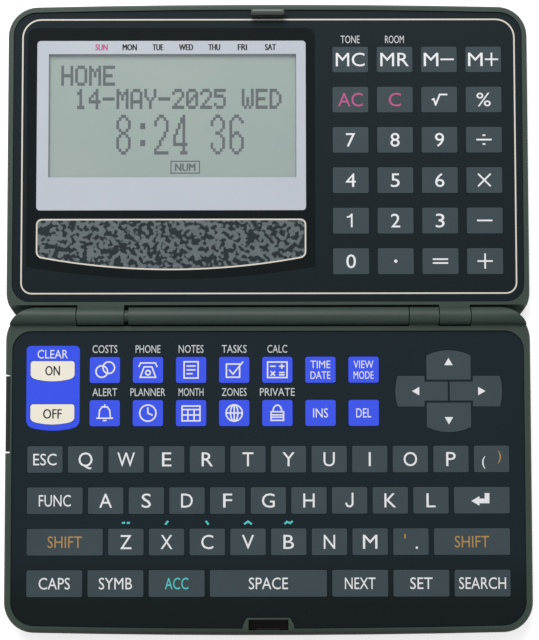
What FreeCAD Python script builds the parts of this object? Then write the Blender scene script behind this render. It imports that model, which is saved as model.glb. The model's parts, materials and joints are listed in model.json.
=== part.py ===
import FreeCAD, Part
import math
import os

Vector = FreeCAD.Vector

# A pocket electronic organizer, open flat: a keyboard base and a display lid on a barrel hinge.
# X runs along the hinge, Y from the base to the lid and Z up. The origin is on the table, under
# the middle of the hinge axis. "Reach" is a distance from the hinge axis towards the front edge
# of a half. All lengths are in millimetres.

base = -1
lid = 1

# Layers of a half, from its outer face up to its rim
cover_thickness = 1.0
cell_gap = 0.1
cell_height = 3.2
contact_thickness = 0.1
board_thickness = 0.8
plate_rise = 0.6
plate_thickness = 0.8
film_thickness = 0.3
film_recess = 0.4

# Case shells
case_floor = 1.2
case_wall = 1.5
parting_height = 3.6
front_bow = 0.85
corner_radius = 7.7
rear_corner_radius = 8.4
bottom_bevel = 1.1
rim_bevel = 0.4
base_rim = 1.65
lid_rim = 1.37
base_rear_rim = 1.15
lid_rear_rim = 0.8
ledge_width = 1.2
film_radius = 6.1
base_film_rear_radius = 5.0
lid_film_rear_radius = 4.6
closed_gap = 0.2
rear_gap = 0.3
fit_gap = 0.08
board_gap = 0.3
overrun = 1.0
rod_sides = 8
disc_sides = 16
corner_steps = 3
bow_steps = 6
point_tolerance = 0.0001
quarter_turn = 90

# Hinge, from left to right: base barrel, lid knuckle, long cover, base barrel, lid knuckle, base barrel
barrel_radius = 2.25
barrel_gap = 0.4
lid_barrel_gap = 0.65
end_gap = 0.25
left_knuckle_start = -49.15
left_knuckle_length = 12.05
neck_gap = 1.25
hinge_cover_length = 71.95
base_segment_length = 7.5
right_knuckle_length = 7.9
pin_radius = 0.8
pin_fixed_gap = 0.02
pin_running_gap = 0.06
pin_grip = 6.0
pin_depth = 3.0
pin_inset = 1.0
trunnion_radius = 1.5
trunnion_depth = 3.4
trunnion_wall = 0.35
hinge_cover_wall = 0.6
hinge_cover_end_wall = 1.2
tab_width = 6.0
tab_thickness = 1.2
tab_depth = 1.2
tab_place_shares = (0.42, 0.82)

# Letter keys: the widths in a row are shares of the pitch, given as node, width and count
letter_pitch = 10.42
letter_row_pitch = 10.54
letter_gap = 1.36
letter_height = 6.8
letter_columns = 12
letter_row_shares = (
    (("command_keys", 1, 1), ("letter_keys", 1, 11)),
    (("command_keys", 1.5, 1), ("letter_keys", 1, 9), ("key_enter", 1.5, 1)),
    (("key_shift_left", 2, 1), ("letter_keys", 1, 8), ("key_shift_right", 2, 1)),
    (("command_keys", 1.5, 3), ("key_space", 3, 1), ("command_keys", 1.5, 3)),
)
keyboard_margin = 4.0
front_margin = 8.05
key_travel = 0.3

# Power, function and cursor keys
power_inset = 0.7
power_width = 11.3
power_height = 5.2
power_reach = 11.55
power_bow = 0.9
power_to_function = 3.9
function_reach = 13.85
function_pitch = 11.1
function_row_pitch = 11.1
function_width = 7.8
function_height = 6.7
function_to_letters = 11.85
function_names = (
    ("key_expenses", "key_telephone", "key_memo", "key_tasks", "key_calculator", "key_time", "key_view"),
    ("key_reminder", "key_schedule", "key_calendar", "key_world_time", "key_secret", "key_insert", "key_delete"),
)
function_to_cursor = 4.25
cursor_inset = 1.6
cursor_gap = 0.5
cursor_waist = 4.9
cursor_up_width = 11.4
cursor_up_length = 7.6
cursor_up_bow = 1.3
cursor_side_length = 13.5
cursor_side_height = 7.9
cursor_side_bow = 0.6

# Calculator keys on the lid
calculator_columns = 4
calculator_rows = 6
calculator_pitch = 11.55
calculator_row_pitch = 10.56
calculator_width = 9.3
calculator_height = 6.75
calculator_reach = 14.2
calculator_margin = 5.35
calculator_front_margin = 9.7

# Display and badge on the lid
display_margin = 6.1
display_width = 69.95
display_depth = 44.5
display_to_keys = 6.95
display_corner = 0.8
display_front_margin = 8.1
view_left_border = 3.05
view_right_border = 2.5
view_front_border = 3.5
view_rear_border = 8.65
view_room = 0.4
badge_reach = 11.95
badge_depth = 13.35
badge_bow = 3.35
badge_corner = 1.4
badge_to_display = 2.2
lcd_margin = 1.8
lcd_thickness = 2.2
lcd_glass = 1.1
lcd_gap = 0.1
lcd_ledge = 2.5
holder_wall = 0.8
holder_floor = 0.7
holder_lip = 0.5
holder_foot = 3.0
connector_thickness = 0.12
connector_width = 46.0
connector_grip = 3.0

# Snap domes under the keys, with their pressed height
dome_gap = 0.05
dome_radius = 2.4
dome_top_radius = 1.4
dome_sides = 4

# Latch: a hook on the lid and its slot in the base
hook_inset = 3.35
hook_width = 8.6
hook_thickness = 1.3
hook_height = 2.2
hook_lip = 0.5
hook_lip_height = 0.6
hook_seat_wall = 0.8
slot_side_play = 0.8
slot_rear_play = 0.6
slot_front_play = 0.3
slot_depth = 3.1
land_wall = 0.45
land_flare = 1.0
catch_width = 6.0
catch_height = 0.6
catch_drop = 0.5
catch_bite = 0.15

# Screws and their bosses
screw_inset = 5.3
screw_rear_reach = 8.5
screw_front_inset = 8.0
screw_radius = 0.8
screw_head_radius = 1.6
screw_head_height = 0.7
screw_head_recess = 0.25
screw_gap = 0.05
screw_tip_gap = 0.3
boss_radius = 1.95
lug_radius = 3.0

# Cells, their holder and the battery cover
cell_radius = 10.0
backup_radius = 8.0
backup_height = 1.6
pocket_gap = 0.15
pocket_wall = 0.9
cover_to_screw = 2.95
contact_width = 6.0
contact_length = 9.0
cover_gap = 0.1
cover_margin = 0.8
cover_lip_height = 3.0
cover_lip_thickness = 1.3
tongue_width = 1.0
tongue_thickness = 0.45
tongue_gap = 0.05
grip_count = 5
grip_pitch = 1.6
grip_width = 0.7
grip_depth = 0.3
grip_length = 12.0
grip_inset = 5.0

# Side cover and the data socket behind it
port_reach = 15.0
port_length = 20.2
port_end_gap = 0.4
port_cover_thickness = 1.1
port_cover_gap = 0.1
port_cover_rise = 0.2
port_cover_drop = 0.4
port_backing = 1.4
port_pin_radius = 0.35
port_pin_length = 1.2
port_pin_gap = 0.05
socket_width = 7.0
socket_length = 12.0
socket_bore_radius = 1.25
socket_bore_depth = 9.0
socket_gap = 0.1

# Reset button
reset_inset = 49.5
reset_reach = 20.0
reset_radius = 1.0
reset_gap = 0.1
reset_recess = 0.4
reset_flange_radius = 1.8
reset_flange_thickness = 0.5
reset_seat_gap = 0.05
reset_travel = 0.4

# Boards, chips, buzzer and ribbon
board_corner = 4.5
land_board_gap = 0.5
chip_front_inset = 17.0
processor_inset = 37.5
processor_width = 14.0
processor_height = 1.4
memory_inset = 61.5
memory_width = 9.0
memory_depth = 14.0
memory_height = 1.1
driver_inset = 47.5
driver_width = 11.0
driver_height = 1.2
crystal_inset = 29.5
crystal_width = 1.8
crystal_length = 6.0
buzzer_inset = 25.5
buzzer_reach = 46.0
buzzer_radius = 8.0
buzzer_thickness = 0.4
ribbon_inset = 3.2
ribbon_width = 10.0
ribbon_thickness = 0.15
ribbon_roll_radius = 1.0
ribbon_grip = 4.0
ribbon_slot_gap = 0.3
lid_ribbon_width = 4.4
lid_ribbon_gap = 0.2

# Heights worked out from the layers
board_bottom = cover_thickness + cell_gap + cell_height + contact_thickness
board_top = board_bottom + board_thickness
plate_bottom = board_top + plate_rise
film_bottom = plate_bottom + plate_thickness
dome_top = film_bottom - key_travel - dome_gap
film_top = film_bottom + film_thickness
half_height = film_top + film_recess
hinge_height = half_height + closed_gap / 2
cell_top = board_bottom - contact_thickness
lcd_top = plate_bottom - lcd_gap
lcd_bottom = lcd_top - lcd_thickness
lcd_ledge_top = lcd_bottom + lcd_glass

# Width of the case: whichever half needs more
letter_block = letter_columns * letter_pitch - letter_gap
function_block = (len(function_names[0]) - 1) * function_pitch + function_width
cursor_block = cursor_gap + 2 * cursor_side_length
command_block = power_inset + power_width + power_to_function + function_block
command_block = command_block + function_to_cursor + cursor_block + cursor_inset
key_block = max(letter_block, command_block)
calculator_block = (calculator_columns - 1) * calculator_pitch + calculator_width
lid_block = display_margin + display_width + display_to_keys + calculator_block + calculator_margin
half_width = max(key_block / 2 + keyboard_margin + base_rim, lid_block / 2 + lid_rim)

# Reach of the halves: whichever half needs more
letter_reach = function_reach + function_row_pitch + function_to_letters
letter_end = letter_reach + (len(letter_row_shares) - 1) * letter_row_pitch + letter_height / 2
calculator_end = calculator_reach + (calculator_rows - 1) * calculator_row_pitch + calculator_height / 2
display_rear = badge_reach + badge_depth + badge_to_display
display_front = display_rear + display_depth
front_reach = max(
    letter_end + front_margin + base_rim,
    calculator_end + calculator_front_margin + lid_rim,
    display_front + display_front_margin + lid_rim,
)
trough_radii = {base: barrel_radius + barrel_gap, lid: barrel_radius + lid_barrel_gap}
rims = {base: base_rim, lid: lid_rim}
film_rears = {base: trough_radii[base] + base_rear_rim, lid: trough_radii[lid] + lid_rear_rim}
film_rear_radii = {base: base_film_rear_radius, lid: lid_film_rear_radius}

# Places of the key groups
power_x = power_inset + power_width / 2 - key_block / 2
function_left = power_x + power_width / 2 + power_to_function
cursor_x = function_left + function_block + function_to_cursor + cursor_block / 2
cursor_reach = function_reach + function_row_pitch / 2

# Places along the hinge
left_knuckle_end = left_knuckle_start + left_knuckle_length
hinge_cover_start = left_knuckle_end + neck_gap
hinge_cover_end = hinge_cover_start + hinge_cover_length
base_segment_start = hinge_cover_end + end_gap
right_knuckle_start = base_segment_start + base_segment_length + end_gap
right_knuckle_end = right_knuckle_start + right_knuckle_length
knuckle_spans = ((left_knuckle_start, left_knuckle_end), (right_knuckle_start, right_knuckle_end))
base_barrel_spans = (
    (-half_width, left_knuckle_start - end_gap),
    (base_segment_start, right_knuckle_start - end_gap),
    (right_knuckle_end + end_gap, half_width),
)
pin_spans = (
    (left_knuckle_start - end_gap - pin_grip, left_knuckle_start + pin_depth),
    (base_segment_start + pin_inset, right_knuckle_end + end_gap + pin_grip),
)
chamber_start = left_knuckle_start + pin_depth + end_gap
ribbon_start = hinge_cover_start + ribbon_inset
lid_ribbon_start = chamber_start + ribbon_slot_gap

# Places of the latch, display, board edges and screws
hook_rear = front_reach - hook_inset
hook_front = hook_rear + hook_thickness
hook_tip = hook_front + hook_lip
slot_rear = hook_rear - slot_rear_play
slot_front = hook_tip + slot_front_play
slot_half = hook_width / 2 + slot_side_play
land_rear = slot_rear - land_wall
land_half = slot_half + land_wall
display_left = lid_rim + display_margin - half_width
display_right = display_left + display_width
calculator_left = half_width - lid_rim - calculator_margin - calculator_block
view_x = (display_left + view_left_border, display_right - view_right_border)
view_reach = (display_rear + view_rear_border, display_front - view_front_border)
lcd_x = (view_x[0] - lcd_margin, view_x[1] + lcd_margin)
lcd_reach = (view_reach[0] - lcd_margin - lcd_ledge, view_reach[1] + lcd_margin)
holder_x = (lcd_x[0] - fit_gap - holder_wall, lcd_x[1] + fit_gap + holder_wall)
holder_reach = (lcd_reach[0] - fit_gap - holder_wall, lcd_reach[1] + fit_gap + holder_wall)
board_half = half_width - base_rim - ledge_width - board_gap
board_front = land_rear - land_board_gap
screw_x = half_width - screw_inset
screw_places = [
    (x, reach)
    for x in (-screw_x, screw_x)
    for reach in (screw_rear_reach, front_reach - screw_front_inset)
]

# Places of the cells, counted from the right edge of the board
cell_step = 2 * cell_radius + 2 * pocket_gap + pocket_wall
first_cell_x = board_half - pocket_wall - pocket_gap - cell_radius
second_cell_x = first_cell_x - cell_step
backup_x = second_cell_x - cell_radius - 2 * pocket_gap - pocket_wall - backup_radius
cell_holder_start = backup_x - backup_radius - pocket_gap - pocket_wall
cell_holder_half = cell_radius + pocket_gap + pocket_wall
battery_cover_start = cell_holder_start - cover_margin
battery_cover_half = cell_holder_half + cover_margin
battery_reach = screw_rear_reach + screw_head_radius + cover_to_screw
battery_reach = battery_reach + tongue_width + cover_gap + battery_cover_half

# Places of the chips, the buzzer and the reset button, counted from the case walls
processor_x = processor_inset - half_width
memory_x = memory_inset - half_width
driver_x = half_width - driver_inset
crystal_x = half_width - crystal_inset
chip_reach = front_reach - chip_front_inset
buzzer_x = buzzer_inset - half_width
reset_x = reset_inset - half_width

# Places of the side cover and the socket
port_floor_x = port_cover_thickness + port_cover_gap - half_width
port_middle = port_reach + port_length / 2
port_pivot_x = port_cover_thickness / 2 - half_width
port_pivot_z = port_cover_rise + port_cover_thickness / 2
socket_top = board_bottom - socket_gap
socket_axis_z = (case_floor + socket_top) / 2


def block(x_span, y_span, z_span):
    low = Vector(min(x_span), min(y_span), min(z_span))
    high = Vector(max(x_span), max(y_span), max(z_span))
    size = high - low
    return Part.makeBox(size.x, size.y, size.z, low)


def half_block(side, x_span, reach_span, z_span):
    return block(x_span, [side * reach for reach in reach_span], z_span)


# A regular polygon, for the rods and discs that stand upright
def ring(radius, x, y, z, sides):
    angles = [2 * math.pi * (step + 0.5) / sides for step in range(sides)]
    points = [Vector(x + radius * math.cos(angle), y + radius * math.sin(angle), z) for angle in angles]
    return Part.makePolygon(points + points[:1])


def upright(radius, x, y, low, high, sides=rod_sides):
    return prism(ring(radius, x, y, low, sides), high - low)


def hinge_rod(radius, start, end):
    return Part.makeCylinder(radius, end - start, Vector(start, 0, hinge_height), Vector(1, 0, 0))


# A bar of few sides on the hinge axis, for what is fixed there or hidden
def hinge_bar(radius, start, end):
    bar = prism(ring(radius, 0, 0, start, rod_sides), end - start)
    bar.rotate(Vector(0, 0, 0), Vector(0, 1, 0), quarter_turn)
    bar.translate(Vector(0, 0, hinge_height))
    return bar


# A closed outline: each step is a point, or a pair of a point on an arc and its end
def outline(start, *steps):
    edges = []
    here = start
    for step in steps + (start,):
        if isinstance(step, tuple):
            edges.append(Part.Arc(here, step[0], step[1]).toShape())
            here = step[1]
        elif not here.isEqual(step, point_tolerance):
            edges.append(Part.LineSegment(here, step).toShape())
            here = step
    return Part.Wire(edges)


# The points of a shallow arc after its start
def bow_points(start, crown, end):
    return Part.Arc(start, crown, end).toShape().discretize(bow_steps + 1)[1:]


def prism(wire, height):
    return Part.Face(wire).extrude(Vector(0, 0, height))


# A rectangle whose round corners are made of a few straight steps
def round_rectangle(x, y, width, depth, radius, z):
    inner_x = width / 2 - radius
    inner_y = depth / 2 - radius
    points = []
    for quarter, (across, along) in enumerate(((1, 1), (-1, 1), (-1, -1), (1, -1))):
        for step in range(corner_steps + 1):
            angle = math.pi / 2 * (quarter + step / corner_steps)
            dx = across * inner_x + radius * math.cos(angle)
            dy = along * inner_y + radius * math.sin(angle)
            points.append(Vector(x + dx, y + dy, z))
    return outline(*points)


def rectangle(x, y, width, depth, z):
    right = width / 2
    far = depth / 2
    corners = ((right, -far), (right, far), (-right, far), (-right, -far))
    return outline(*[Vector(x + dx, y + dy, z) for dx, dy in corners])


# A block whose round corners are turned into a few straight steps
def stepped(solid, height):
    floor = min(solid.Faces, key=lambda face: face.CenterOfMass.z)
    edges = floor.OuterWire.OrderedEdges
    points = []
    for here, after in zip(edges, edges[1:] + edges[:1]):
        steps = corner_steps if isinstance(here.Curve, Part.Circle) else 1
        line = here.discretize(steps + 1)
        joins = [vertex.Point for vertex in after.Vertexes]
        if not any(line[-1].isEqual(join, point_tolerance) for join in joins):
            line.reverse()
        points += line[:-1]
    return prism(outline(*points), height)


# The plan of a half, drawn in from its sides and front, from a rear line to the bowed front edge
def slab(side, inset, rear, low, high, front_radius, rear_radius):
    right = half_width - inset
    front = front_reach - inset
    shoulder = front - front_bow
    wire = outline(
        Vector(-right, side * rear, low),
        Vector(right, side * rear, low),
        Vector(right, side * shoulder, low),
        (Vector(0, side * front, low), Vector(-right, side * shoulder, low)),
    )
    solid = prism(wire, high - low)
    middle = side * (rear + shoulder) / 2
    for radius, at_front in ((front_radius, True), (rear_radius, False)):
        edges = [
            edge
            for edge in solid.Edges
            if is_upright(edge) and (side * (edge.CenterOfMass.y - middle) > 0) == at_front
            and abs(abs(edge.CenterOfMass.x) - right) < fit_gap
        ]
        solid = solid.makeFillet(radius, edges)
    return solid


def is_upright(edge):
    ends = [vertex.Point for vertex in edge.Vertexes]
    return len(ends) == 2 and abs(ends[0].x - ends[1].x) + abs(ends[0].y - ends[1].y) < fit_gap


def edges_at(solid, z):
    return [
        edge
        for edge in solid.Edges
        if abs(edge.BoundBox.ZMin - z) + abs(edge.BoundBox.ZMax - z) < fit_gap
    ]


# A flat sheet with holes: the floor of a blank as the outline, and the holes as wires on it
def holed_sheet(blank, holes, thickness):
    floor = min(blank.Faces, key=lambda face: face.CenterOfMass.z)
    wires = Part.makeCompound([floor.OuterWire] + holes)
    return Part.makeFace(wires, "Part::FaceMakerBullseye").extrude(Vector(0, 0, thickness))


# Keys: each has a node, a half, a middle and an outline that can be grown for its holes
class Key:
    def __init__(self, node, side, x, reach, shape, bowed):
        self.node = node
        self.bowed = bowed
        self.side = side
        self.x = x
        self.y = side * reach
        self.shape = shape

    def solid(self):
        return prism(self.shape(0, film_bottom), film_thickness)

    def dome(self):
        low = ring(dome_radius, self.x, self.y, board_top, dome_sides)
        high = ring(dome_top_radius, self.x, self.y, dome_top, dome_sides)
        faces = [Part.Face(low), Part.Face(high)]
        low_points = [vertex.Point for vertex in low.OrderedVertexes]
        high_points = [vertex.Point for vertex in high.OrderedVertexes]
        for here in range(dome_sides):
            after = (here + 1) % dome_sides
            corners = (low_points[here], low_points[after], high_points[after], high_points[here])
            faces.append(Part.Face(outline(*corners)))
        solid = Part.Solid(Part.makeShell(faces))
        solid.fix(point_tolerance, point_tolerance, point_tolerance)
        return solid


def plain_key(node, side, x, reach, width, height):
    def shape(grow, z):
        return rectangle(x, side * reach, width + 2 * grow, height + 2 * grow, z)

    return Key(node, side, x, reach, shape, False)


# A key with one straight end and one bowed end, on the base
def bowed_key(node, x, flat_reach, bowed_reach, width, bow):
    turn = math.copysign(1, bowed_reach - flat_reach)

    def shape(grow, z):
        half = width / 2 + grow
        flat = base * (flat_reach - turn * grow)
        shoulder = base * (bowed_reach - turn * bow + turn * grow)
        crown = base * (bowed_reach + turn * grow)
        start = Vector(x + half, shoulder, z)
        end = Vector(x - half, shoulder, z)
        return outline(
            Vector(x - half, flat, z),
            Vector(x + half, flat, z),
            start,
            *bow_points(start, Vector(x, crown, z), end),
        )

    return Key(node, base, x, (flat_reach + bowed_reach) / 2, shape, True)


# A cursor key to one side: a narrow waist between the other two keys and a wide bowed end
def side_key(node, centre_x, centre_reach, hand):
    notch = cursor_up_width / 2 + cursor_gap
    outer = cursor_gap / 2 + cursor_side_length

    def shape(grow, z):
        inner_x = centre_x + hand * (cursor_gap / 2 - grow)
        notch_x = centre_x + hand * (notch - grow)
        shoulder_x = centre_x + hand * (outer - cursor_side_bow + grow)
        crown_x = centre_x + hand * (outer + grow)
        waist = cursor_waist / 2 + grow
        half = cursor_side_height / 2 + grow
        y = base * centre_reach
        start = Vector(shoulder_x, y - half, z)
        end = Vector(shoulder_x, y + half, z)
        return outline(
            Vector(inner_x, y - waist, z),
            Vector(notch_x, y - waist, z),
            Vector(notch_x, y - half, z),
            start,
            *bow_points(start, Vector(crown_x, y, z), end),
            Vector(notch_x, y + half, z),
            Vector(notch_x, y + waist, z),
            Vector(inner_x, y + waist, z),
        )

    return Key(node, base, centre_x + hand * (notch + outer) / 2, centre_reach, shape, True)


def letter_keys():
    keys = []
    for row, groups in enumerate(letter_row_shares):
        x = -letter_block / 2
        for node, share, count in groups:
            width = share * letter_pitch - letter_gap
            for _ in range(count):
                reach = letter_reach + row * letter_row_pitch
                keys.append(plain_key(node, base, x + width / 2, reach, width, letter_height))
                x += share * letter_pitch
    return keys


def command_row_keys():
    keys = []
    for row, node in enumerate(("key_on", "key_off")):
        flat = power_reach + row * function_row_pitch
        keys.append(bowed_key(node, power_x, flat, flat + power_height, power_width, power_bow))
    for row, names in enumerate(function_names):
        for column, node in enumerate(names):
            x = function_left + function_width / 2 + column * function_pitch
            reach = function_reach + row * function_row_pitch
            keys.append(plain_key(node, base, x, reach, function_width, function_height))
    for node, turn in (("key_cursor_up", -1), ("key_cursor_down", 1)):
        flat = cursor_reach + turn * (cursor_waist / 2 + cursor_gap)
        bowed = flat + turn * cursor_up_length
        keys.append(bowed_key(node, cursor_x, flat, bowed, cursor_up_width, cursor_up_bow))
    keys.append(side_key("key_cursor_left", cursor_x, cursor_reach, -1))
    keys.append(side_key("key_cursor_right", cursor_x, cursor_reach, 1))
    return keys


def calculator_keys():
    keys = []
    for row in range(calculator_rows):
        for column in range(calculator_columns):
            x = calculator_left + calculator_width / 2 + column * calculator_pitch
            reach = calculator_reach + row * calculator_row_pitch
            keys.append(plain_key("calculator_keys", lid, x, reach, calculator_width, calculator_height))
    return keys


base_keys = letter_keys() + command_row_keys()
lid_keys = calculator_keys()


# Outer blanks of a half: the full plan, and what lies behind the hinge plane
def half_blank(side, low, high):
    return slab(side, 0, -barrel_radius, low, high, corner_radius, rear_corner_radius)


def behind_hinge(side):
    reach_span = (rear_gap, -barrel_radius - overrun)
    return half_block(side, (-half_width - overrun, half_width + overrun), reach_span, (-overrun, hinge_height))


def bevelled_bottom(side):
    blank = half_blank(side, 0, parting_height)
    return blank.makeChamfer(bottom_bevel, edges_at(blank, 0))


def tub(side):
    radius = corner_radius - case_wall
    rear = rear_gap + case_wall
    top = parting_height + overrun
    hollow = stepped(slab(side, case_wall, rear, case_floor, top, radius, radius), top - case_floor)
    return bevelled_bottom(side).cut([behind_hinge(side), hollow])


# A rim frame: an outer wall, a ledge for the key plate and the recess for plate and film
def rim_frame(side):
    rim = rims[side]
    rear = film_rears[side]
    rear_radius = film_rear_radii[side]
    blank = half_blank(side, parting_height, half_height)
    blank = blank.makeChamfer(rim_bevel, edges_at(blank, half_height))
    top = half_height + overrun
    opening = slab(
        side,
        rim + ledge_width,
        rear + ledge_width,
        parting_height - overrun,
        top,
        film_radius - ledge_width,
        rear_radius - ledge_width,
    )
    opening = stepped(opening, top - parting_height + overrun)
    recess = slab(side, rim, rear, plate_bottom, top, film_radius, rear_radius)
    frame = blank.cut([behind_hinge(side), opening, recess])
    lugs = [
        upright(lug_radius, x, side * reach, board_top, plate_bottom)
        for x, reach in screw_places
    ]
    spill = half_blank(side, board_top, plate_bottom)
    return frame.fuse([lug.common(spill) for lug in lugs])


# The blank of a plate or film laid into the recess of a frame
def recess_blank(side, low, high):
    radius = film_radius - fit_gap
    rear_radius = film_rear_radii[side] - fit_gap
    return slab(side, rims[side] + fit_gap, film_rears[side] + fit_gap, low, high, radius, rear_radius)


# The raised land round the latch slot, as a flared tongue of the front rim
def land_wire(grow, z):
    rim_reach = front_reach - base_rim
    rear_half = land_half + grow
    front_half = land_half + land_flare + grow
    rear = base * (land_rear - grow)
    flare_end = base * (rim_reach - front_bow)
    front = base * (front_reach - base_rim / 2)
    return outline(
        Vector(-rear_half, rear, z),
        Vector(rear_half, rear, z),
        Vector(front_half, flare_end, z),
        Vector(front_half, front, z),
        Vector(-front_half, front, z),
        Vector(-front_half, flare_end, z),
    )


def hook_seat(grow, low, high):
    half = hook_width / 2 + hook_seat_wall + grow
    reach_span = (hook_rear - hook_seat_wall - grow, front_reach - lid_rim / 2)
    return half_block(lid, (-half, half), reach_span, (low, high))


def screw_shank(x, y, low, high, gap):
    return upright(screw_radius + gap, x, y, low, high)


# Base shells
def make_base_lower_case():
    case = tub(base)
    bosses = []
    for x, reach in screw_places:
        bosses.append(upright(boss_radius, x, base * reach, 0, board_bottom))
    backing_x = (port_floor_x, port_floor_x + port_backing)
    backing_reach = (port_reach - port_backing, port_reach + port_length + port_backing)
    backing = half_block(base, backing_x, backing_reach, (case_floor, parting_height))
    case = case.fuse(bosses + [backing])
    cuts = [port_recess(), socket_opening(), *battery_cover_cuts()]
    for x, reach in screw_places:
        y = base * reach
        cuts.append(screw_shank(x, y, -overrun, board_bottom + overrun, screw_gap))
        seat = screw_head_recess + screw_head_height
        cuts.append(upright(screw_head_radius + screw_gap, x, y, -overrun, seat))
    cuts.append(upright(reset_radius + reset_gap, reset_x, base * reset_reach, -overrun, case_floor + overrun))
    pin_reach = port_reach + port_end_gap - port_pin_length - port_pin_gap
    pin_end = port_reach + port_length - port_end_gap + port_pin_length + port_pin_gap
    cuts.append(port_rod(port_pin_radius + port_pin_gap, pin_reach, pin_end))
    return case.cut(cuts).removeSplitter()


def port_recess():
    x_span = (-half_width - overrun, port_floor_x)
    reach_span = (port_reach, port_reach + port_length)
    return half_block(base, x_span, reach_span, (-overrun, half_height + overrun))


def port_rod(radius, near, far):
    start = Vector(port_pivot_x, base * far, port_pivot_z)
    return Part.makeCylinder(radius, far - near, start, Vector(0, 1, 0))


def socket_opening():
    half = socket_width / 2 + socket_gap
    x_span = (port_floor_x - overrun, port_floor_x + socket_length)
    reach_span = (port_middle - half, port_middle + half)
    return half_block(base, x_span, reach_span, (case_floor, socket_top + socket_gap))


def battery_cover_cuts():
    near = battery_reach - battery_cover_half - cover_gap
    far = battery_reach + battery_cover_half + cover_gap
    start = battery_cover_start - cover_gap
    outside = half_width + overrun
    wall_start = half_width - case_wall - cover_gap
    tongue_low = cover_thickness - tongue_thickness - tongue_gap
    tongue_reach = (near - tongue_width, far + tongue_width)
    through = (-overrun, case_floor + overrun)
    return [
        half_block(base, (start, outside), (near, far), (-overrun, cover_thickness + tongue_gap)),
        half_block(base, (start, wall_start), (near, far), through),
        half_block(base, (start, wall_start), tongue_reach, (tongue_low, case_floor + overrun)),
        half_block(base, (start, outside), tongue_reach, (tongue_low, cover_thickness + tongue_gap)),
        half_block(base, (wall_start, outside), (near, far), (-overrun, cover_lip_height + cover_gap)),
    ]


def make_keyboard_frame():
    frame = rim_frame(base)
    land = prism(land_wire(0, parting_height), half_height - parting_height)
    plan = half_blank(base, 0, 2 * hinge_height)
    barrels = [hinge_rod(barrel_radius, start, end).common(plan) for start, end in base_barrel_spans]
    trough_spans = (
        (left_knuckle_start - end_gap, hinge_cover_end + end_gap),
        (right_knuckle_start - end_gap, right_knuckle_end + end_gap),
    )
    troughs = [hinge_rod(trough_radii[base], start, end) for start, end in trough_spans]
    frame = frame.cut(troughs).fuse(barrels + [land])
    slot_z = (half_height - slot_depth, half_height + overrun)
    cuts = [half_block(base, (-slot_half, slot_half), (slot_rear, slot_front), slot_z)]
    cuts += [port_recess(), socket_opening(), ribbon_slot()]
    cuts += [hinge_bar(pin_radius + pin_fixed_gap, start, end) for start, end in pin_spans]
    cuts += hinge_cover_tabs(fit_gap)
    for x, reach in screw_places:
        cuts.append(screw_shank(x, base * reach, board_top - overrun, plate_bottom, pin_fixed_gap))
    catch_top = half_height - catch_drop
    catch = half_block(
        base,
        (-catch_width / 2, catch_width / 2),
        (hook_tip - catch_bite, slot_front),
        (catch_top - catch_height, catch_top),
    )
    return frame.cut(cuts).fuse(catch).removeSplitter()


def ribbon_slot():
    x_span = (ribbon_start - ribbon_slot_gap, ribbon_start + ribbon_width + ribbon_slot_gap)
    reach_span = (0, film_rears[base] + ledge_width + overrun)
    return half_block(base, x_span, reach_span, (board_top - ribbon_slot_gap, plate_bottom))


# The plate has one slot for a row of keys, and the film an opening for every key
def row_slots(side, left, length, reach, pitch, rows, height):
    return [
        rectangle(
            left + length / 2,
            side * (reach + row * pitch),
            length + 2 * fit_gap,
            height + 2 * fit_gap,
            plate_bottom,
        )
        for row in range(rows)
    ]


def make_key_plate():
    blank = recess_blank(base, plate_bottom, film_bottom)
    blank = blank.cut(prism(land_wire(fit_gap, plate_bottom - overrun), plate_thickness + 2 * overrun))
    rows = len(letter_row_shares)
    holes = row_slots(base, -letter_block / 2, letter_block, letter_reach, letter_row_pitch, rows, letter_height)
    rows = len(function_names)
    holes += row_slots(
        base, function_left, function_block, function_reach, function_row_pitch, rows, function_height
    )
    holes += [key.shape(fit_gap, plate_bottom) for key in base_keys if key.bowed]
    return holed_sheet(blank, holes, plate_thickness)


def make_keyboard_film():
    blank = recess_blank(base, film_bottom, film_top)
    blank = blank.cut(prism(land_wire(fit_gap, film_bottom - overrun), film_thickness + 2 * overrun))
    holes = [key.shape(fit_gap, film_bottom) for key in base_keys]
    return holed_sheet(blank, holes, film_thickness)


# Boards
def board_blank(side, half):
    rear = film_rears[side] + ledge_width + board_gap
    depth = board_front - rear
    wire = round_rectangle(0, side * (rear + depth / 2), 2 * half, depth, board_corner, board_bottom)
    board = prism(wire, board_thickness)
    holes = []
    for x, reach in screw_places:
        holes.append(screw_shank(x, side * reach, board_bottom - overrun, board_top + overrun, screw_gap))
    return board.cut(holes)


def make_main_board():
    return board_blank(base, board_half)


def make_board_chips():
    y = base * chip_reach

    def chip(x, width, depth, height):
        return block(
            (x - width / 2, x + width / 2),
            (y - depth / 2, y + depth / 2),
            (board_bottom - height, board_bottom),
        )

    return [
        chip(processor_x, processor_width, processor_width, processor_height),
        chip(memory_x, memory_width, memory_depth, memory_height),
        chip(driver_x, driver_width, driver_width, driver_height),
        chip(crystal_x, crystal_length, crystal_width, crystal_width),
    ]


# Cells and what holds them
def cell(radius, x, height):
    return upright(radius, x, base * battery_reach, cell_top - height, cell_top, disc_sides)


def make_cell_holder():
    low = cover_thickness + cell_gap
    reach_span = (battery_reach - cell_holder_half, battery_reach + cell_holder_half)
    holder = half_block(base, (cell_holder_start, board_half), reach_span, (low, board_bottom))
    places = ((first_cell_x, cell_radius), (second_cell_x, cell_radius), (backup_x, backup_radius))
    pockets = [
        upright(radius + pocket_gap, x, base * battery_reach, low - overrun, board_bottom + overrun, disc_sides)
        for x, radius in places
    ]
    return holder.cut(pockets)


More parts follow.
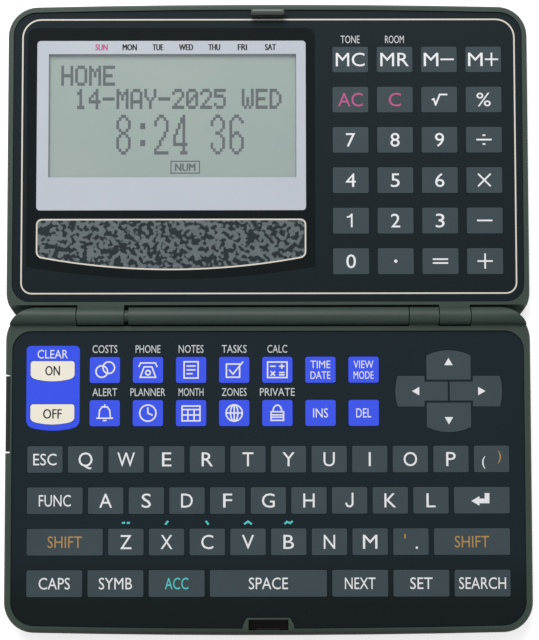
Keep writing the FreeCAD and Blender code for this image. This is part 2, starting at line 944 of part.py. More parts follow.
def make_cell_contacts():
    contacts = []
    for x in (first_cell_x, second_cell_x, backup_x):
        contacts.append(half_block(
            base,
            (x - contact_width / 2, x + contact_width / 2),
            (battery_reach - contact_length / 2, battery_reach + contact_length / 2),
            (cell_top, board_bottom),
        ))
    return contacts


def make_battery_cover():
    near = battery_reach - battery_cover_half
    far = battery_reach + battery_cover_half
    lip_start = half_width - cover_lip_thickness
    outside = half_width + overrun
    plate = half_block(base, (battery_cover_start, outside), (near, far), (0, cover_thickness))
    lip = half_block(base, (lip_start, outside), (near, far), (0, cover_lip_height))
    tongue = half_block(
        base,
        (battery_cover_start, half_width - case_wall - cover_gap),
        (near - tongue_width, far + tongue_width),
        (cover_thickness - tongue_thickness, cover_thickness),
    )
    cover = plate.fuse(lip).common(bevelled_bottom(base)).fuse(tongue)
    grips = []
    for index in range(grip_count):
        x = half_width - grip_inset - index * grip_pitch
        grips.append(half_block(
            base,
            (x - grip_width / 2, x + grip_width / 2),
            (battery_reach - grip_length / 2, battery_reach + grip_length / 2),
            (-overrun, grip_depth),
        ))
    return cover.cut(grips).removeSplitter()


# Buzzer, socket, side cover and reset button
def make_buzzer_disc():
    top = case_floor + buzzer_thickness
    return upright(buzzer_radius, buzzer_x, base * buzzer_reach, case_floor, top, disc_sides)


def make_data_socket():
    half = socket_width / 2
    reach_span = (port_middle - half, port_middle + half)
    body = half_block(base, (port_floor_x, port_floor_x + socket_length), reach_span, (case_floor, socket_top))
    start = Vector(port_floor_x - overrun, base * port_middle, socket_axis_z)
    bore = Part.makeCylinder(socket_bore_radius, socket_bore_depth + overrun, start, Vector(1, 0, 0))
    return body.cut(bore)


def make_port_cover():
    near = port_reach + port_end_gap
    far = port_reach + port_length - port_end_gap
    top = half_height - port_cover_drop
    x_span = (-half_width, port_cover_thickness - half_width)
    leaf = half_block(base, x_span, (near, far), (port_pivot_z, top))
    top_edges = [edge for edge in edges_at(leaf, top) if edge.CenterOfMass.x < port_pivot_x - port_cover_gap]
    leaf = leaf.makeChamfer(port_cover_drop, top_edges)
    barrel = port_rod(port_cover_thickness / 2, near, far)
    pin = port_rod(port_pin_radius, near - port_pin_length, far + port_pin_length)
    return leaf.fuse([barrel, pin]).removeSplitter()


def make_reset_button():
    y = base * reset_reach
    seat = case_floor + reset_seat_gap
    flange_top = seat + reset_flange_thickness
    tip = upright(reset_radius, reset_x, y, reset_recess, seat)
    flange = upright(reset_flange_radius, reset_x, y, seat, flange_top)
    stem = upright(reset_radius, reset_x, y, flange_top, board_bottom - reset_travel - reset_seat_gap)
    return tip.fuse([flange, stem]).removeSplitter()


# Hinge pieces
def hinge_cover_tabs(grow):
    tabs = []
    for share in tab_place_shares:
        x = hinge_cover_start + share * hinge_cover_length
        tabs.append(half_block(
            base,
            (x - tab_width / 2 - grow, x + tab_width / 2 + grow),
            (barrel_gap - grow, barrel_gap + tab_thickness + grow),
            (hinge_height - barrel_radius - tab_depth - grow, hinge_height - barrel_radius + tab_thickness),
        ))
    return tabs


def make_hinge_cover():
    trunnion_start = left_knuckle_end - trunnion_depth
    tube = hinge_rod(barrel_radius, hinge_cover_start, hinge_cover_end)
    trunnion = hinge_rod(trunnion_radius, trunnion_start, hinge_cover_start + hinge_cover_end_wall)
    cover = tube.fuse([trunnion] + hinge_cover_tabs(0))
    hollow_start = hinge_cover_start + hinge_cover_end_wall
    hollow_end = hinge_cover_end - hinge_cover_end_wall
    hollow = hinge_rod(barrel_radius - hinge_cover_wall, hollow_start, hollow_end)
    bore = hinge_rod(trunnion_radius - trunnion_wall, trunnion_start - overrun, hollow_start + overrun)
    slot = half_block(
        base,
        (ribbon_start - ribbon_slot_gap, ribbon_start + ribbon_width + ribbon_slot_gap),
        (0, barrel_radius),
        (hinge_height - trough_radii[base], hinge_height - ribbon_roll_radius),
    )
    return cover.cut([hollow, bore, slot]).removeSplitter()


def make_hinge_pins():
    return [hinge_bar(pin_radius, start, end) for start, end in pin_spans]


# A flat strip along X whose section follows points of reach and height
def strip(side, points, thickness, start, width):
    lower = [Vector(start, side * reach, z) for reach, z in points]
    upper = [point + Vector(0, 0, thickness) for point in reversed(lower)]
    wire = Part.makePolygon(lower + upper + lower[:1])
    return Part.Face(wire).extrude(Vector(width, 0, 0))


def make_ribbon_cable():
    board_rear = film_rears[base] + ledge_width + board_gap
    points = (
        (0, hinge_height - ribbon_roll_radius),
        (barrel_radius, board_top),
        (board_rear + ribbon_grip, board_top),
    )
    tail = strip(base, points, ribbon_thickness, ribbon_start, ribbon_width)
    end = ribbon_start + ribbon_width
    roll = hinge_bar(ribbon_roll_radius, lid_ribbon_start, end)
    bore = hinge_bar(ribbon_roll_radius - ribbon_thickness, lid_ribbon_start - overrun, end + overrun)
    return roll.fuse(tail).cut(bore).removeSplitter()


def make_lid_ribbon():
    board_rear = film_rears[lid] + ledge_width + board_gap
    points = (
        (ribbon_roll_radius, hinge_height - ribbon_roll_radius - lid_ribbon_gap),
        (barrel_radius, board_top),
        (board_rear + ribbon_grip, board_top),
    )
    return strip(lid, points, ribbon_thickness, lid_ribbon_start, lid_ribbon_width)


# Screws: the base ones are put in from below, the lid ones from under the film
def make_base_screws():
    screws = []
    for x, reach in screw_places:
        y = base * reach
        head_top = screw_head_recess + screw_head_height
        head = upright(screw_head_radius, x, y, screw_head_recess, head_top)
        shank = screw_shank(x, y, head_top, plate_bottom - screw_tip_gap, 0)
        screws.append(head.fuse(shank))
    return screws


def make_lid_screws():
    screws = []
    for x, reach in screw_places:
        y = lid * reach
        head = upright(screw_head_radius, x, y, plate_bottom, plate_bottom + screw_head_height)
        shank = screw_shank(x, y, case_floor + screw_tip_gap, plate_bottom, 0)
        screws.append(head.fuse(shank))
    return screws


# Lid shells
def make_lid_back_case():
    case = tub(lid)
    bosses = [upright(boss_radius, x, lid * reach, case_floor, board_bottom) for x, reach in screw_places]
    holes = [
        screw_shank(x, lid * reach, case_floor, board_bottom + overrun, pin_fixed_gap)
        for x, reach in screw_places
    ]
    return case.fuse(bosses).cut(holes).removeSplitter()


def make_display_frame():
    frame = rim_frame(lid)
    ends = [-half_width - overrun]
    for span in knuckle_spans:
        ends += span
    ends.append(half_width + overrun)
    troughs = [hinge_rod(trough_radii[lid], ends[i], ends[i + 1]) for i in range(0, len(ends), 2)]
    knuckles = [hinge_rod(barrel_radius, start, end) for start, end in knuckle_spans]
    frame = frame.cut(troughs).fuse(knuckles + [hook_seat(0, parting_height, film_bottom)])
    chamber = hinge_rod(trunnion_radius + pin_running_gap, chamber_start, left_knuckle_end + overrun)
    slot = half_block(
        lid,
        (chamber_start, lid_ribbon_start + lid_ribbon_width + ribbon_slot_gap),
        (ribbon_roll_radius, film_rears[lid] + ledge_width + overrun),
        (board_top - ribbon_slot_gap, hinge_height - ribbon_roll_radius),
    )
    cuts = [chamber, slot]
    cuts += [hinge_rod(pin_radius + pin_running_gap, start, end) for start, end in pin_spans]
    for x, reach in screw_places:
        cuts.append(screw_shank(x, lid * reach, board_top - overrun, plate_bottom + overrun, screw_gap))
    half = hook_width / 2
    top = half_height + hook_height
    hook = half_block(lid, (-half, half), (hook_rear, hook_front), (film_bottom, top))
    lip = half_block(lid, (-half, half), (hook_front, hook_tip), (top - hook_lip_height, top))
    return frame.cut(cuts).fuse([hook, lip]).removeSplitter()


# Plate and film of the lid, with the display, the badge and the calculator keys let in
def display_wire(grow, z):
    x = (display_left + display_right) / 2
    y = lid * (display_rear + display_front) / 2
    return round_rectangle(
        x, y, display_width + 2 * grow, display_depth + 2 * grow, display_corner + grow, z
    )


def badge_solid(grow, low, high):
    left = display_left - grow
    right = display_right + grow
    front = lid * (badge_reach + badge_depth + grow)
    shoulder = lid * (badge_reach + badge_bow - grow)
    crown = lid * (badge_reach - grow)
    wire = outline(
        Vector(left, front, low),
        Vector(left, shoulder, low),
        (Vector((left + right) / 2, crown, low), Vector(right, shoulder, low)),
        Vector(right, front, low),
    )
    solid = prism(wire, high - low)
    uprights = [edge for edge in solid.Edges if is_upright(edge)]
    return solid.makeFillet(badge_corner + grow, uprights)


def make_calculator_plate():
    blank = recess_blank(lid, plate_bottom, film_bottom)
    blank = blank.cut(hook_seat(fit_gap, plate_bottom - overrun, film_bottom + overrun))
    holes = row_slots(
        lid,
        calculator_left,
        calculator_block,
        calculator_reach,
        calculator_row_pitch,
        calculator_rows,
        calculator_height,
    )
    view_width = view_x[1] - view_x[0] + 2 * view_room
    view_depth = view_reach[1] - view_reach[0] + 2 * view_room
    view_y = lid * (view_reach[0] + view_reach[1]) / 2
    middle = (view_x[0] + view_x[1]) / 2
    holes.append(round_rectangle(middle, view_y, view_width, view_depth, view_room, plate_bottom))
    for x, reach in screw_places:
        holes.append(ring(screw_head_radius + pocket_gap, x, lid * reach, plate_bottom, rod_sides))
    return holed_sheet(blank, holes, plate_thickness)


def make_lid_film():
    blank = recess_blank(lid, film_bottom, film_top)
    half = hook_width / 2 + fit_gap
    notch = half_block(
        lid,
        (-half, half),
        (hook_rear - fit_gap, front_reach),
        (film_bottom - overrun, film_top + overrun),
    )
    holes = [key.shape(fit_gap, film_bottom) for key in lid_keys]
    badge = badge_solid(fit_gap, film_bottom, film_top)
    holes.append(min(badge.Faces, key=lambda face: face.CenterOfMass.z).OuterWire)
    holes.append(display_wire(fit_gap, film_bottom))
    return holed_sheet(blank.cut(notch), holes, film_thickness)


def make_display_window():
    return prism(display_wire(0, film_bottom), film_thickness)


def make_badge_plate():
    return badge_solid(0, film_bottom, film_top)


# Display and its holder
def make_lcd_panel():
    lower = half_block(lid, lcd_x, lcd_reach, (lcd_bottom, lcd_ledge_top))
    upper_reach = (lcd_reach[0] + lcd_ledge, lcd_reach[1])
    upper = half_block(lid, lcd_x, upper_reach, (lcd_ledge_top, lcd_top))
    return lower.fuse(upper).removeSplitter()


def make_lcd_holder():
    low = lcd_bottom - holder_floor
    tray = half_block(lid, holder_x, holder_reach, (low, lcd_top - holder_lip))
    pocket = half_block(
        lid,
        (lcd_x[0] - fit_gap, lcd_x[1] + fit_gap),
        (lcd_reach[0] - fit_gap, lcd_reach[1] + fit_gap),
        (lcd_bottom, lcd_top),
    )
    middle = (lcd_x[0] + lcd_x[1]) / 2
    half = connector_width / 2 + fit_gap
    notch = half_block(
        lid,
        (middle - half, middle + half),
        (holder_reach[0] - overrun, lcd_reach[0]),
        (lcd_ledge_top - fit_gap, lcd_top),
    )
    feet = []
    for x in holder_x:
        for reach in holder_reach:
            toward_x = math.copysign(holder_foot, middle - x)
            toward_reach = math.copysign(holder_foot, sum(holder_reach) / 2 - reach)
            feet.append(half_block(lid, (x, x + toward_x), (reach, reach + toward_reach), (case_floor, low)))
    return tray.cut([pocket, notch]).fuse(feet).removeSplitter()


def make_display_connector():
    board_edge = holder_reach[0] - board_gap
    points = (
        (lcd_reach[0] + lcd_ledge - fit_gap, lcd_ledge_top),
        (lcd_reach[0], lcd_ledge_top),
        (board_edge + fit_gap, board_top),
        (board_edge - connector_grip, board_top),
    )
    middle = (lcd_x[0] + lcd_x[1]) / 2
    return strip(lid, points, connector_thickness, middle - connector_width / 2, connector_width)


def make_lid_board():
    board = board_blank(lid, board_half)
    opening = half_block(
        lid,
        (holder_x[0] - board_gap, holder_x[1] + board_gap),
        (holder_reach[0] - board_gap, holder_reach[1] + board_gap),
        (board_bottom - overrun, board_top + overrun),
    )
    return board.cut(opening)


nodes = {
    "base_lower_case": make_base_lower_case(),
    "keyboard_frame": make_keyboard_frame(),
    "key_plate": make_key_plate(),
    "keyboard_film": make_keyboard_film(),
    "keyboard_domes": [key.dome() for key in base_keys],
    "main_board": make_main_board(),
    "board_chips": make_board_chips(),
    "cell_holder": make_cell_holder(),
    "main_cells": [cell(cell_radius, x, cell_height) for x in (first_cell_x, second_cell_x)],
    "backup_cell": cell(backup_radius, backup_x, backup_height),
    "cell_contacts": make_cell_contacts(),
    "battery_cover": make_battery_cover(),
    "buzzer_disc": make_buzzer_disc(),
    "data_socket": make_data_socket(),
    "port_cover": make_port_cover(),
    "reset_button": make_reset_button(),
    "base_screws": make_base_screws(),
    "hinge_cover": make_hinge_cover(),
    "hinge_pins": make_hinge_pins(),
    "ribbon_cable": make_ribbon_cable(),
    "lid_ribbon": make_lid_ribbon(),
    "lid_back_case": make_lid_back_case(),
    "display_frame": make_display_frame(),
    "calculator_plate": make_calculator_plate(),
    "lid_film": make_lid_film(),
    "display_window": make_display_window(),
    "badge_plate": make_badge_plate(),
    "lcd_panel": make_lcd_panel(),
    "lcd_holder": make_lcd_holder(),
    "display_connector": make_display_connector(),
    "lid_board": make_lid_board(),
    "calculator_domes": [key.dome() for key in lid_keys],
    "lid_screws": make_lid_screws(),
}
for key in base_keys + lid_keys:
    nodes.setdefault(key.node, []).append(key.solid())

os.makedirs("parts", exist_ok=True)
for name, made in nodes.items():
    shape = Part.makeCompound(made) if isinstance(made, list) else made
    shape.exportStep("parts/" + name + ".step")
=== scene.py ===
import bpy
import json
import math
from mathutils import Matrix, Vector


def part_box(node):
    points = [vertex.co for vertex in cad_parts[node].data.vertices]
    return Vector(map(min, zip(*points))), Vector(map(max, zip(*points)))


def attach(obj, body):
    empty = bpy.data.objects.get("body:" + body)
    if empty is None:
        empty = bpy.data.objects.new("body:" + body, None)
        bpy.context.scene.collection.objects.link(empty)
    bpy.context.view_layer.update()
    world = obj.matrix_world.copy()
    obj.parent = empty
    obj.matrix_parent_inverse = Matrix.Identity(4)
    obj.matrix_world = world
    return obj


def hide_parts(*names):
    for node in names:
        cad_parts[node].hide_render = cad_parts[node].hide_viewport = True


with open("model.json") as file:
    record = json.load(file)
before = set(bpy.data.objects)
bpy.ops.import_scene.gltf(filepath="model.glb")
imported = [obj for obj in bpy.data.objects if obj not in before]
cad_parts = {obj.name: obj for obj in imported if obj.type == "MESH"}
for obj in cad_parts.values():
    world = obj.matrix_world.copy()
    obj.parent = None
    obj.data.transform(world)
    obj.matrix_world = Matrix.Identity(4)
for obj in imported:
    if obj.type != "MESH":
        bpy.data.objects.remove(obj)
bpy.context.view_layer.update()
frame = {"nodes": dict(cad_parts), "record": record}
bpy.ops.object.select_all(action="DESELECT")
print("frame loaded")

mm = 0.001


# a colour from 0 to 255 as linear light
def linear(red, green, blue):
    shares = [value / 255 for value in (red, green, blue)]
    return tuple(s / 12.92 if s < 0.0405 else ((s + 0.055) / 1.055) ** 2.4 for s in shares) + (1.0,)


# a shader socket that takes part in expressions
class Wire:
    def __init__(self, tree, socket):
        self.tree = tree
        self.socket = socket

    def node(self, kind, settings, inputs, output=0):
        made = self.tree.nodes.new(kind)
        for name, value in settings.items():
            setattr(made, name, value)
        for name, value in inputs.items():
            if isinstance(value, Wire):
                self.tree.links.new(value.socket, made.inputs[name])
            else:
                made.inputs[name].default_value = value
        return Wire(self.tree, made.outputs[output])

    def maths(self, operation, first, second=0.0, clamp=False):
        settings = {"operation": operation, "use_clamp": clamp}
        return self.node("ShaderNodeMath", settings, {0: first, 1: second})

    def __add__(self, other):
        return self.maths("ADD", self, other)

    def __radd__(self, other):
        return self.maths("ADD", other, self)

    def __sub__(self, other):
        return self.maths("SUBTRACT", self, other)

    def __rsub__(self, other):
        return self.maths("SUBTRACT", other, self)

    def __mul__(self, other):
        return self.maths("MULTIPLY", self, other)

    def __rmul__(self, other):
        return self.maths("MULTIPLY", other, self)

    def __truediv__(self, other):
        return self.maths("DIVIDE", self, other)

    def __rtruediv__(self, other):
        return self.maths("DIVIDE", other, self)

    def __gt__(self, other):
        return self.maths("GREATER_THAN", self, other)

    def __lt__(self, other):
        return self.maths("LESS_THAN", self, other)

    def __abs__(self):
        return self.maths("ABSOLUTE", self)

    def atLeast(self, other):
        return self.maths("MAXIMUM", self, other)

    def clamped(self):
        return self.maths("ADD", self, 0.0, True)

    def rounded(self):
        return self.maths("ROUND", self)

    def fraction(self):
        return self.maths("FRACT", self)

    def ramp(self, start, end):
        return ((self - start) / (end - start)).clamped()

    def mix(self, low, high):
        return self.node("ShaderNodeMix", {"data_type": "RGBA"}, {0: self, 6: low, 7: high}, 2)

    # between two colours from 0 to 255
    def tone(self, low, high):
        return self.mix(linear(*low), linear(*high))

    # one colour over what lies below
    def over(self, ground, colour):
        return self.mix(ground, linear(*colour))

    def axes(self):
        parts = self.node("ShaderNodeSeparateXYZ", {}, {"Vector": self})
        outputs = parts.socket.node.outputs
        return [Wire(self.tree, outputs[name]) for name in "XYZ"]

    def noise(self, scale, detail=2.0, distortion=0.0):
        inputs = {"Vector": self, "Scale": scale, "Detail": detail, "Distortion": distortion}
        return self.node("ShaderNodeTexNoise", {}, inputs)

    def bump(self, strength, depth):
        inputs = {"Height": self, "Strength": strength, "Distance": depth}
        return self.node("ShaderNodeBump", {}, inputs)


# a material from a function of the object's own coordinates
def surface(name, paint):
    material = bpy.data.materials.new(name)
    material.use_nodes = True
    tree = material.node_tree
    shader = tree.nodes["Principled BSDF"]
    place = Wire(tree, tree.nodes.new("ShaderNodeTexCoord").outputs["Object"])
    for socket, value in paint(place).items():
        if isinstance(value, Wire):
            tree.links.new(value.socket, shader.inputs[socket])
        else:
            shader.inputs[socket].default_value = value
    return material


plasticLook = {"fine": 0.55, "cloud": 0.45, "cloudScale": 60, "depth": 0.06 * mm, "spread": 0.12}


# fine grain, and the same grain on a slow cloud
def grainOf(place, scale):
    speckle = place.noise(scale, 3.0)
    cloud = place.noise(plasticLook["cloudScale"], 1.0)
    return speckle, speckle * plasticLook["fine"] + cloud * plasticLook["cloud"]


def plastic(speckle, colour, roughness, strength, shine):
    spread = plasticLook["spread"]
    return {
        "Base Color": colour,
        "Roughness": speckle * spread + (roughness - spread / 2),
        "Normal": speckle.bump(strength, plasticLook["depth"]),
        "Specular IOR Level": shine,
    }


def moulded(name, low, high, roughness, grain=2600, strength=0.12, shine=0.15):
    def paint(place):
        speckle, shade = grainOf(place, grain)
        return plastic(speckle, shade.tone(low, high), roughness, strength, shine)
    return surface(name, paint)


metalLook = {"brush": (60, 2400, 900), "spread": 0.15, "middle": 0.07}


def metal(name, low, high, roughness):
    def paint(place):
        inputs = {"Vector": place, "Scale": metalLook["brush"]}
        brush = place.node("ShaderNodeMapping", {}, inputs).noise(1.0, 3.0)
        return {
            "Base Color": brush.tone(low, high),
            "Metallic": 1.0,
            "Roughness": brush * metalLook["spread"] + (roughness - metalLook["middle"]),
        }
    return surface(name, paint)


inkLook = {"grain": 1800, "dark": 0.94, "roughness": 0.6, "shine": 0.2}


def ink(name, *colour):
    def paint(place):
        low = [value * inkLook["dark"] for value in colour]
        return {
            "Base Color": place.noise(inkLook["grain"], 2.0).tone(low, colour),
            "Roughness": inkLook["roughness"],
            "Specular IOR Level": inkLook["shine"],
        }
    return surface(name, paint)


# 1 inside a rectangle with round corners and 0 outside
def roundedArea(x, y, left, right, low, high, radius):
    halfX = (right - left) / 2
    halfY = (high - low) / 2
    acrossX = (abs(x - (left + right) / 2) - (halfX - radius)).atLeast(0.0)
    acrossY = (abs(y - (low + high) / 2) - (halfY - radius)).atLeast(0.0)
    return (acrossX * acrossX + acrossY * acrossY) < radius * radius


def sidesOf(look):
    return [look[side] for side in ("left", "right", "low", "high")]


# a round-cornered area whose lower edge is bowed and bends up close to its ends
def bowedArea(x, y, look):
    left, right, low, high = sidesOf(look)
    share = (x - (left + right) / 2) / ((right - left) / 2)
    square = share * share
    steep = square * square * square * square
    line = square * look["bow"] + steep * steep * look["foot"] + low
    whole = roundedArea(x, y, left, right, low - look["below"], high, look["radius"])
    return whole * (y > line)


filmLook = {
    "grain": 3000, "mottle": 0.5, "roughness": 0.5, "spread": 0.1,
    "bump": 0.06, "depth": 0.05 * mm, "shine": 0.08,
}


# a printed film: painted light and shade on its ground, changing from rear to front, and a printed bowed
# field lies on it
def film(name, look):
    def paint(place):
        x, y = place.axes()[:2]
        speckle = place.noise(filmLook["grain"], 2.0)
        # painted light and shade: the ground lighter or darker from rear to front
        shading = y.ramp(look["slopeStart"], look["slopeEnd"]) + (speckle - 0.5) * filmLook["mottle"]
        ground = shading.clamped().tone(look["rear"], look["front"])
        field = speckle.tone(look["fieldLow"], look["fieldHigh"])
        return {
            "Base Color": bowedArea(x, y, look).mix(ground, field),
            "Roughness": speckle * filmLook["spread"] + filmLook["roughness"],
            "Normal": speckle.bump(filmLook["bump"], filmLook["depth"]),
            "Specular IOR Level": filmLook["shine"],
        }
    return surface(name, paint)


# the keyboard film with the blue panel of the power keys, its ground painted darker towards the front as
# painted shade
baseFilmLook = {
    "rear": (27, 38, 43), "front": (20, 28, 30), "slopeStart": -60 * mm, "slopeEnd": -74 * mm,
    "fieldLow": (57, 82, 231), "fieldHigh": (62, 88, 240),
    "left": -62.2 * mm, "right": -48.5 * mm, "low": -29.4 * mm, "high": -7.6 * mm,
    "radius": 1.2 * mm, "bow": 1.1 * mm, "foot": 1.3 * mm, "below": 2 * mm,
}
# the lid film with the black field round display and badge, its ground painted lighter towards its far edge
# as painted light
lidFilmLook = {
    "rear": (24, 33, 37), "front": (29, 38, 42), "slopeStart": 0.0, "slopeEnd": 80 * mm,
    "fieldLow": (10, 18, 21), "fieldHigh": (13, 22, 25),
    "left": -62.6 * mm, "right": 12.3 * mm, "low": 9.6 * mm, "high": 75.4 * mm,
    "radius": 2.5 * mm, "bow": 3.2 * mm, "foot": 0.0, "below": 0.0,
}
# round patches of stone between dark veins, small ones and some larger
stoneLook = {
    "vein": (36, 45, 49), "low": (76, 87, 92), "high": (114, 122, 125), "cover": 0.62,
    "smallScale": 900, "smallShare": 11, "largeScale": 330, "largeShare": 4, "fineScale": 1500,
    "roughness": 0.55, "shine": 0.15,
}


def paintBadge(place):
    look = stoneLook
    small = place.noise(look["smallScale"], detail=0.6, distortion=0.25)
    large = place.noise(look["largeScale"], 1.0)
    patch = (small - 0.5) * look["smallShare"] + (large - 0.5) * look["largeShare"] + look["cover"]
    shade = large * 0.5 + place.noise(look["fineScale"], 2.0) * 0.5
    return {
        "Base Color": patch.clamped().mix(linear(*look["vein"]), shade.tone(look["low"], look["high"])),
        "Roughness": look["roughness"], "Specular IOR Level": look["shine"],
    }


# the display: a faint grid of cells, and painted shade along the edge of its window
displayLook = {
    "left": -56.75 * mm, "right": 7.15 * mm, "low": 36.4 * mm, "high": 68.6 * mm, "radius": 0.3 * mm,
    "edge": (118, 129, 130), "cool": (139, 160, 158), "warm": (155, 168, 160), "cloudScale": 45,
    "gap": (154, 167, 161), "cellX": 0.6 * mm, "cellY": 0.7 * mm, "cellHalf": 0.42, "gapShare": 0.5,
    "roughness": 0.35, "shine": 0.3,
}


def paintDisplay(place):
    look = displayLook
    x, y = place.axes()[:2]
    columns = abs((x / look["cellX"]).fraction() - 0.5) > look["cellHalf"]
    rows = abs((y / look["cellY"]).fraction() - 0.5) > look["cellHalf"]
    ground = place.noise(look["cloudScale"], 2.0).tone(look["cool"], look["warm"])
    field = (columns.atLeast(rows) * look["gapShare"]).over(ground, look["gap"])
    # outside this area, along the window's edge, the colour is painted shade
    inner = roundedArea(x, y, *sidesOf(look), look["radius"])
    return {
        "Base Color": inner.mix(linear(*look["edge"]), field),
        "Roughness": look["roughness"], "Specular IOR Level": look["shine"],
    }


paneLook = {
    "low": (214, 222, 220), "high": (226, 230, 230), "smearScale": 30, "shine": 0.4,
    "roughness": 0.08, "roughSpread": 0.06, "alpha": 0.05, "alphaSpread": 0.03,
}


def paintPane(place):
    look = paneLook
    smear = place.noise(look["smearScale"], 2.0)
    return {
        "Base Color": smear.tone(look["low"], look["high"]),
        "Roughness": smear * look["roughSpread"] + look["roughness"],
        "Alpha": smear * look["alphaSpread"] + look["alpha"],
        "Specular IOR Level": look["shine"],
    }


# the case: painted shade inside its latch slot and at the rear of its latch hook, a painted highlight along
# the hook's edge, painted shade on its near rim and painted light on its far rim
caseLook = {
    "low": (49, 60, 55), "high": (64, 78, 71), "grain": 1800, "roughness": 0.46, "bump": 0.3, "shine": 0.28,
    "slot": (12, 14, 14), "slotHalf": 5.2 * mm, "slotRear": -77.4 * mm, "slotFront": -80.3 * mm,
    "slotTop": 6.95 * mm, "slotFloor": 4.0 * mm,
    "hookEdge": (116, 127, 121), "hookRear": (12, 16, 14), "hookFoot": 8.2 * mm, "hookHalf": 3.9 * mm,
    "hookBack": 77.0 * mm, "hookStart": 78.2 * mm, "hookLight": 79.22 * mm, "hookEnd": 79.62 * mm,
    "rimFoot": 6.9 * mm, "nearRim": (16, 20, 18), "nearStart": -79.6 * mm, "nearEnd": -81.7 * mm,
    "farRim": (84, 98, 90), "farStart": 80.7 * mm, "farEnd": 81.4 * mm,
}


def paintCase(place):
    look = caseLook
    x, y, z = place.axes()
    speckle, shade = grainOf(place, look["grain"])
    across = (abs(x) < look["slotHalf"]) * (y < look["slotRear"]) * (y > look["slotFront"])
    inside = across * (z < look["slotTop"]) * (z > look["slotFloor"])
    rim = z > look["rimFoot"]
    hook = (z > look["hookFoot"]) * (y > look["hookBack"])
    edge = hook * (abs(x) < look["hookHalf"]) * (y > look["hookLight"]) * (y < look["hookEnd"])
    # painted shade inside the latch slot
    colour = inside.over(shade.tone(look["low"], look["high"]), look["slot"])
    # painted shade on the near rim's top, darker towards the front, and painted light on the far rim's top
    colour = (rim * y.ramp(look["nearStart"], look["nearEnd"])).over(colour, look["nearRim"])
    colour = (rim * y.ramp(look["farStart"], look["farEnd"])).over(colour, look["farRim"])
    # painted shade at the rear of the latch hook, and a painted highlight along its edge
    colour = (hook * (1 - y.ramp(look["hookStart"], look["hookLight"]))).over(colour, look["hookRear"])
    colour = edge.over(colour, look["hookEdge"])
    return plastic(speckle, colour, look["roughness"], look["bump"], look["shine"])


looks = {
    "case_plastic": surface("casePlastic", paintCase),
    "plate_plastic": moulded("platePlastic", (24, 25, 26), (33, 34, 36), 0.6),
    "base_film": film("keyboardFilm", baseFilmLook),
    "lid_film": film("lidFilm", lidFilmLook),
    "window": moulded("windowEdge", (178, 184, 194), (196, 201, 209), 0.45, grain=3200, strength=0.05),
    "badge": surface("badgeStone", paintBadge),
    "display_glass": surface("displayGlass", paintDisplay),
    "grey_key": moulded("greyKey", (55, 67, 73), (73, 84, 89), 0.55, strength=0.1, shine=0.08),
    "cover_rubber": moulded(
        "coverRubber", (27, 34, 32), (40, 48, 45), 0.7, grain=2200, strength=0.2, shine=0.25,
    ),
    "inner_plastic": moulded("innerPlastic", (26, 27, 28), (38, 39, 40), 0.6),
    "board": moulded("boardGreen", (18, 74, 40), (30, 96, 56), 0.45),
    "chip_plastic": moulded("chipBlack", (17, 17, 18), (30, 30, 31), 0.5),
    "dome_steel": metal("domeSteel", (176, 176, 172), (214, 214, 210), 0.35),
    "cell_steel": metal("cellSteel", (188, 188, 184), (226, 226, 222), 0.28),
    "contact_brass": metal("contactBrass", (188, 150, 82), (224, 188, 120), 0.35),
    "pin_steel": metal("pinSteel", (170, 170, 170), (205, 205, 205), 0.3),
    "screw_steel": metal("screwSteel", (70, 71, 74), (102, 103, 106), 0.42),
    "ribbon": moulded("ribbonAmber", (158, 96, 34), (190, 120, 50), 0.4),
}

# keys in grids: the letter rows lean sideways, the command keys of the last row are wider
letterGrid = {
    "firstX": -46.89 * mm, "firstY": -36.8 * mm, "pitchX": 10.42 * mm, "pitchY": -10.54 * mm,
    "lean": 5.21 * mm, "width": 9.06 * mm, "height": 6.8 * mm, "radius": 0.4 * mm,
}
commandGrid = letterGrid | {
    "firstX": -54.705 * mm, "pitchX": 15.63 * mm, "lean": 0.0, "width": 14.27 * mm, "split": -42 * mm,
}
calculatorGrid = {
    "firstX": 21.5 * mm, "firstY": 14.2 * mm, "pitchX": 11.55 * mm, "pitchY": 10.56 * mm,
    "lean": 0.0, "width": 9.3 * mm, "height": 6.75 * mm, "radius": 0.4 * mm,
}


def gridPlace(grid, row, column):
    x = grid["firstX"] + row * grid["lean"] + column * grid["pitchX"]
    return x, grid["firstY"] + row * grid["pitchY"]


# the area of the keys in a grid, each with round corners
def gridArea(grid):
    def area(place):
        x, y = place.axes()[:2]
        row = ((y - grid["firstY"]) / grid["pitchY"]).rounded()
        acrossX = x - row * grid["lean"] - grid["firstX"]
        localX = acrossX - (acrossX / grid["pitchX"]).rounded() * grid["pitchX"]
        localY = y - row * grid["pitchY"] - grid["firstY"]
        right = grid["width"] / 2
        top = grid["height"] / 2
        return roundedArea(localX, localY, -right, right, -top, top, grid["radius"])
    return area


# one command key stands in the first letter row, the others in their own grid
def commandArea(place):
    rear = place.axes()[1] > commandGrid["split"]
    return rear * gridArea(letterGrid)(place) + (1 - rear) * gridArea(commandGrid)(place)


# the area of one key, from its node's box
def keyArea(node, look):
    low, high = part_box(node)
    sides = {"left": low.x, "right": high.x, "low": low.y, "high": high.y}

    def area(place):
        x, y = place.axes()[:2]
        if "bow" in look:
            return bowedArea(x, y, look | sides)
        return roundedArea(x, y, *sides.values(), look["radius"])
    return area


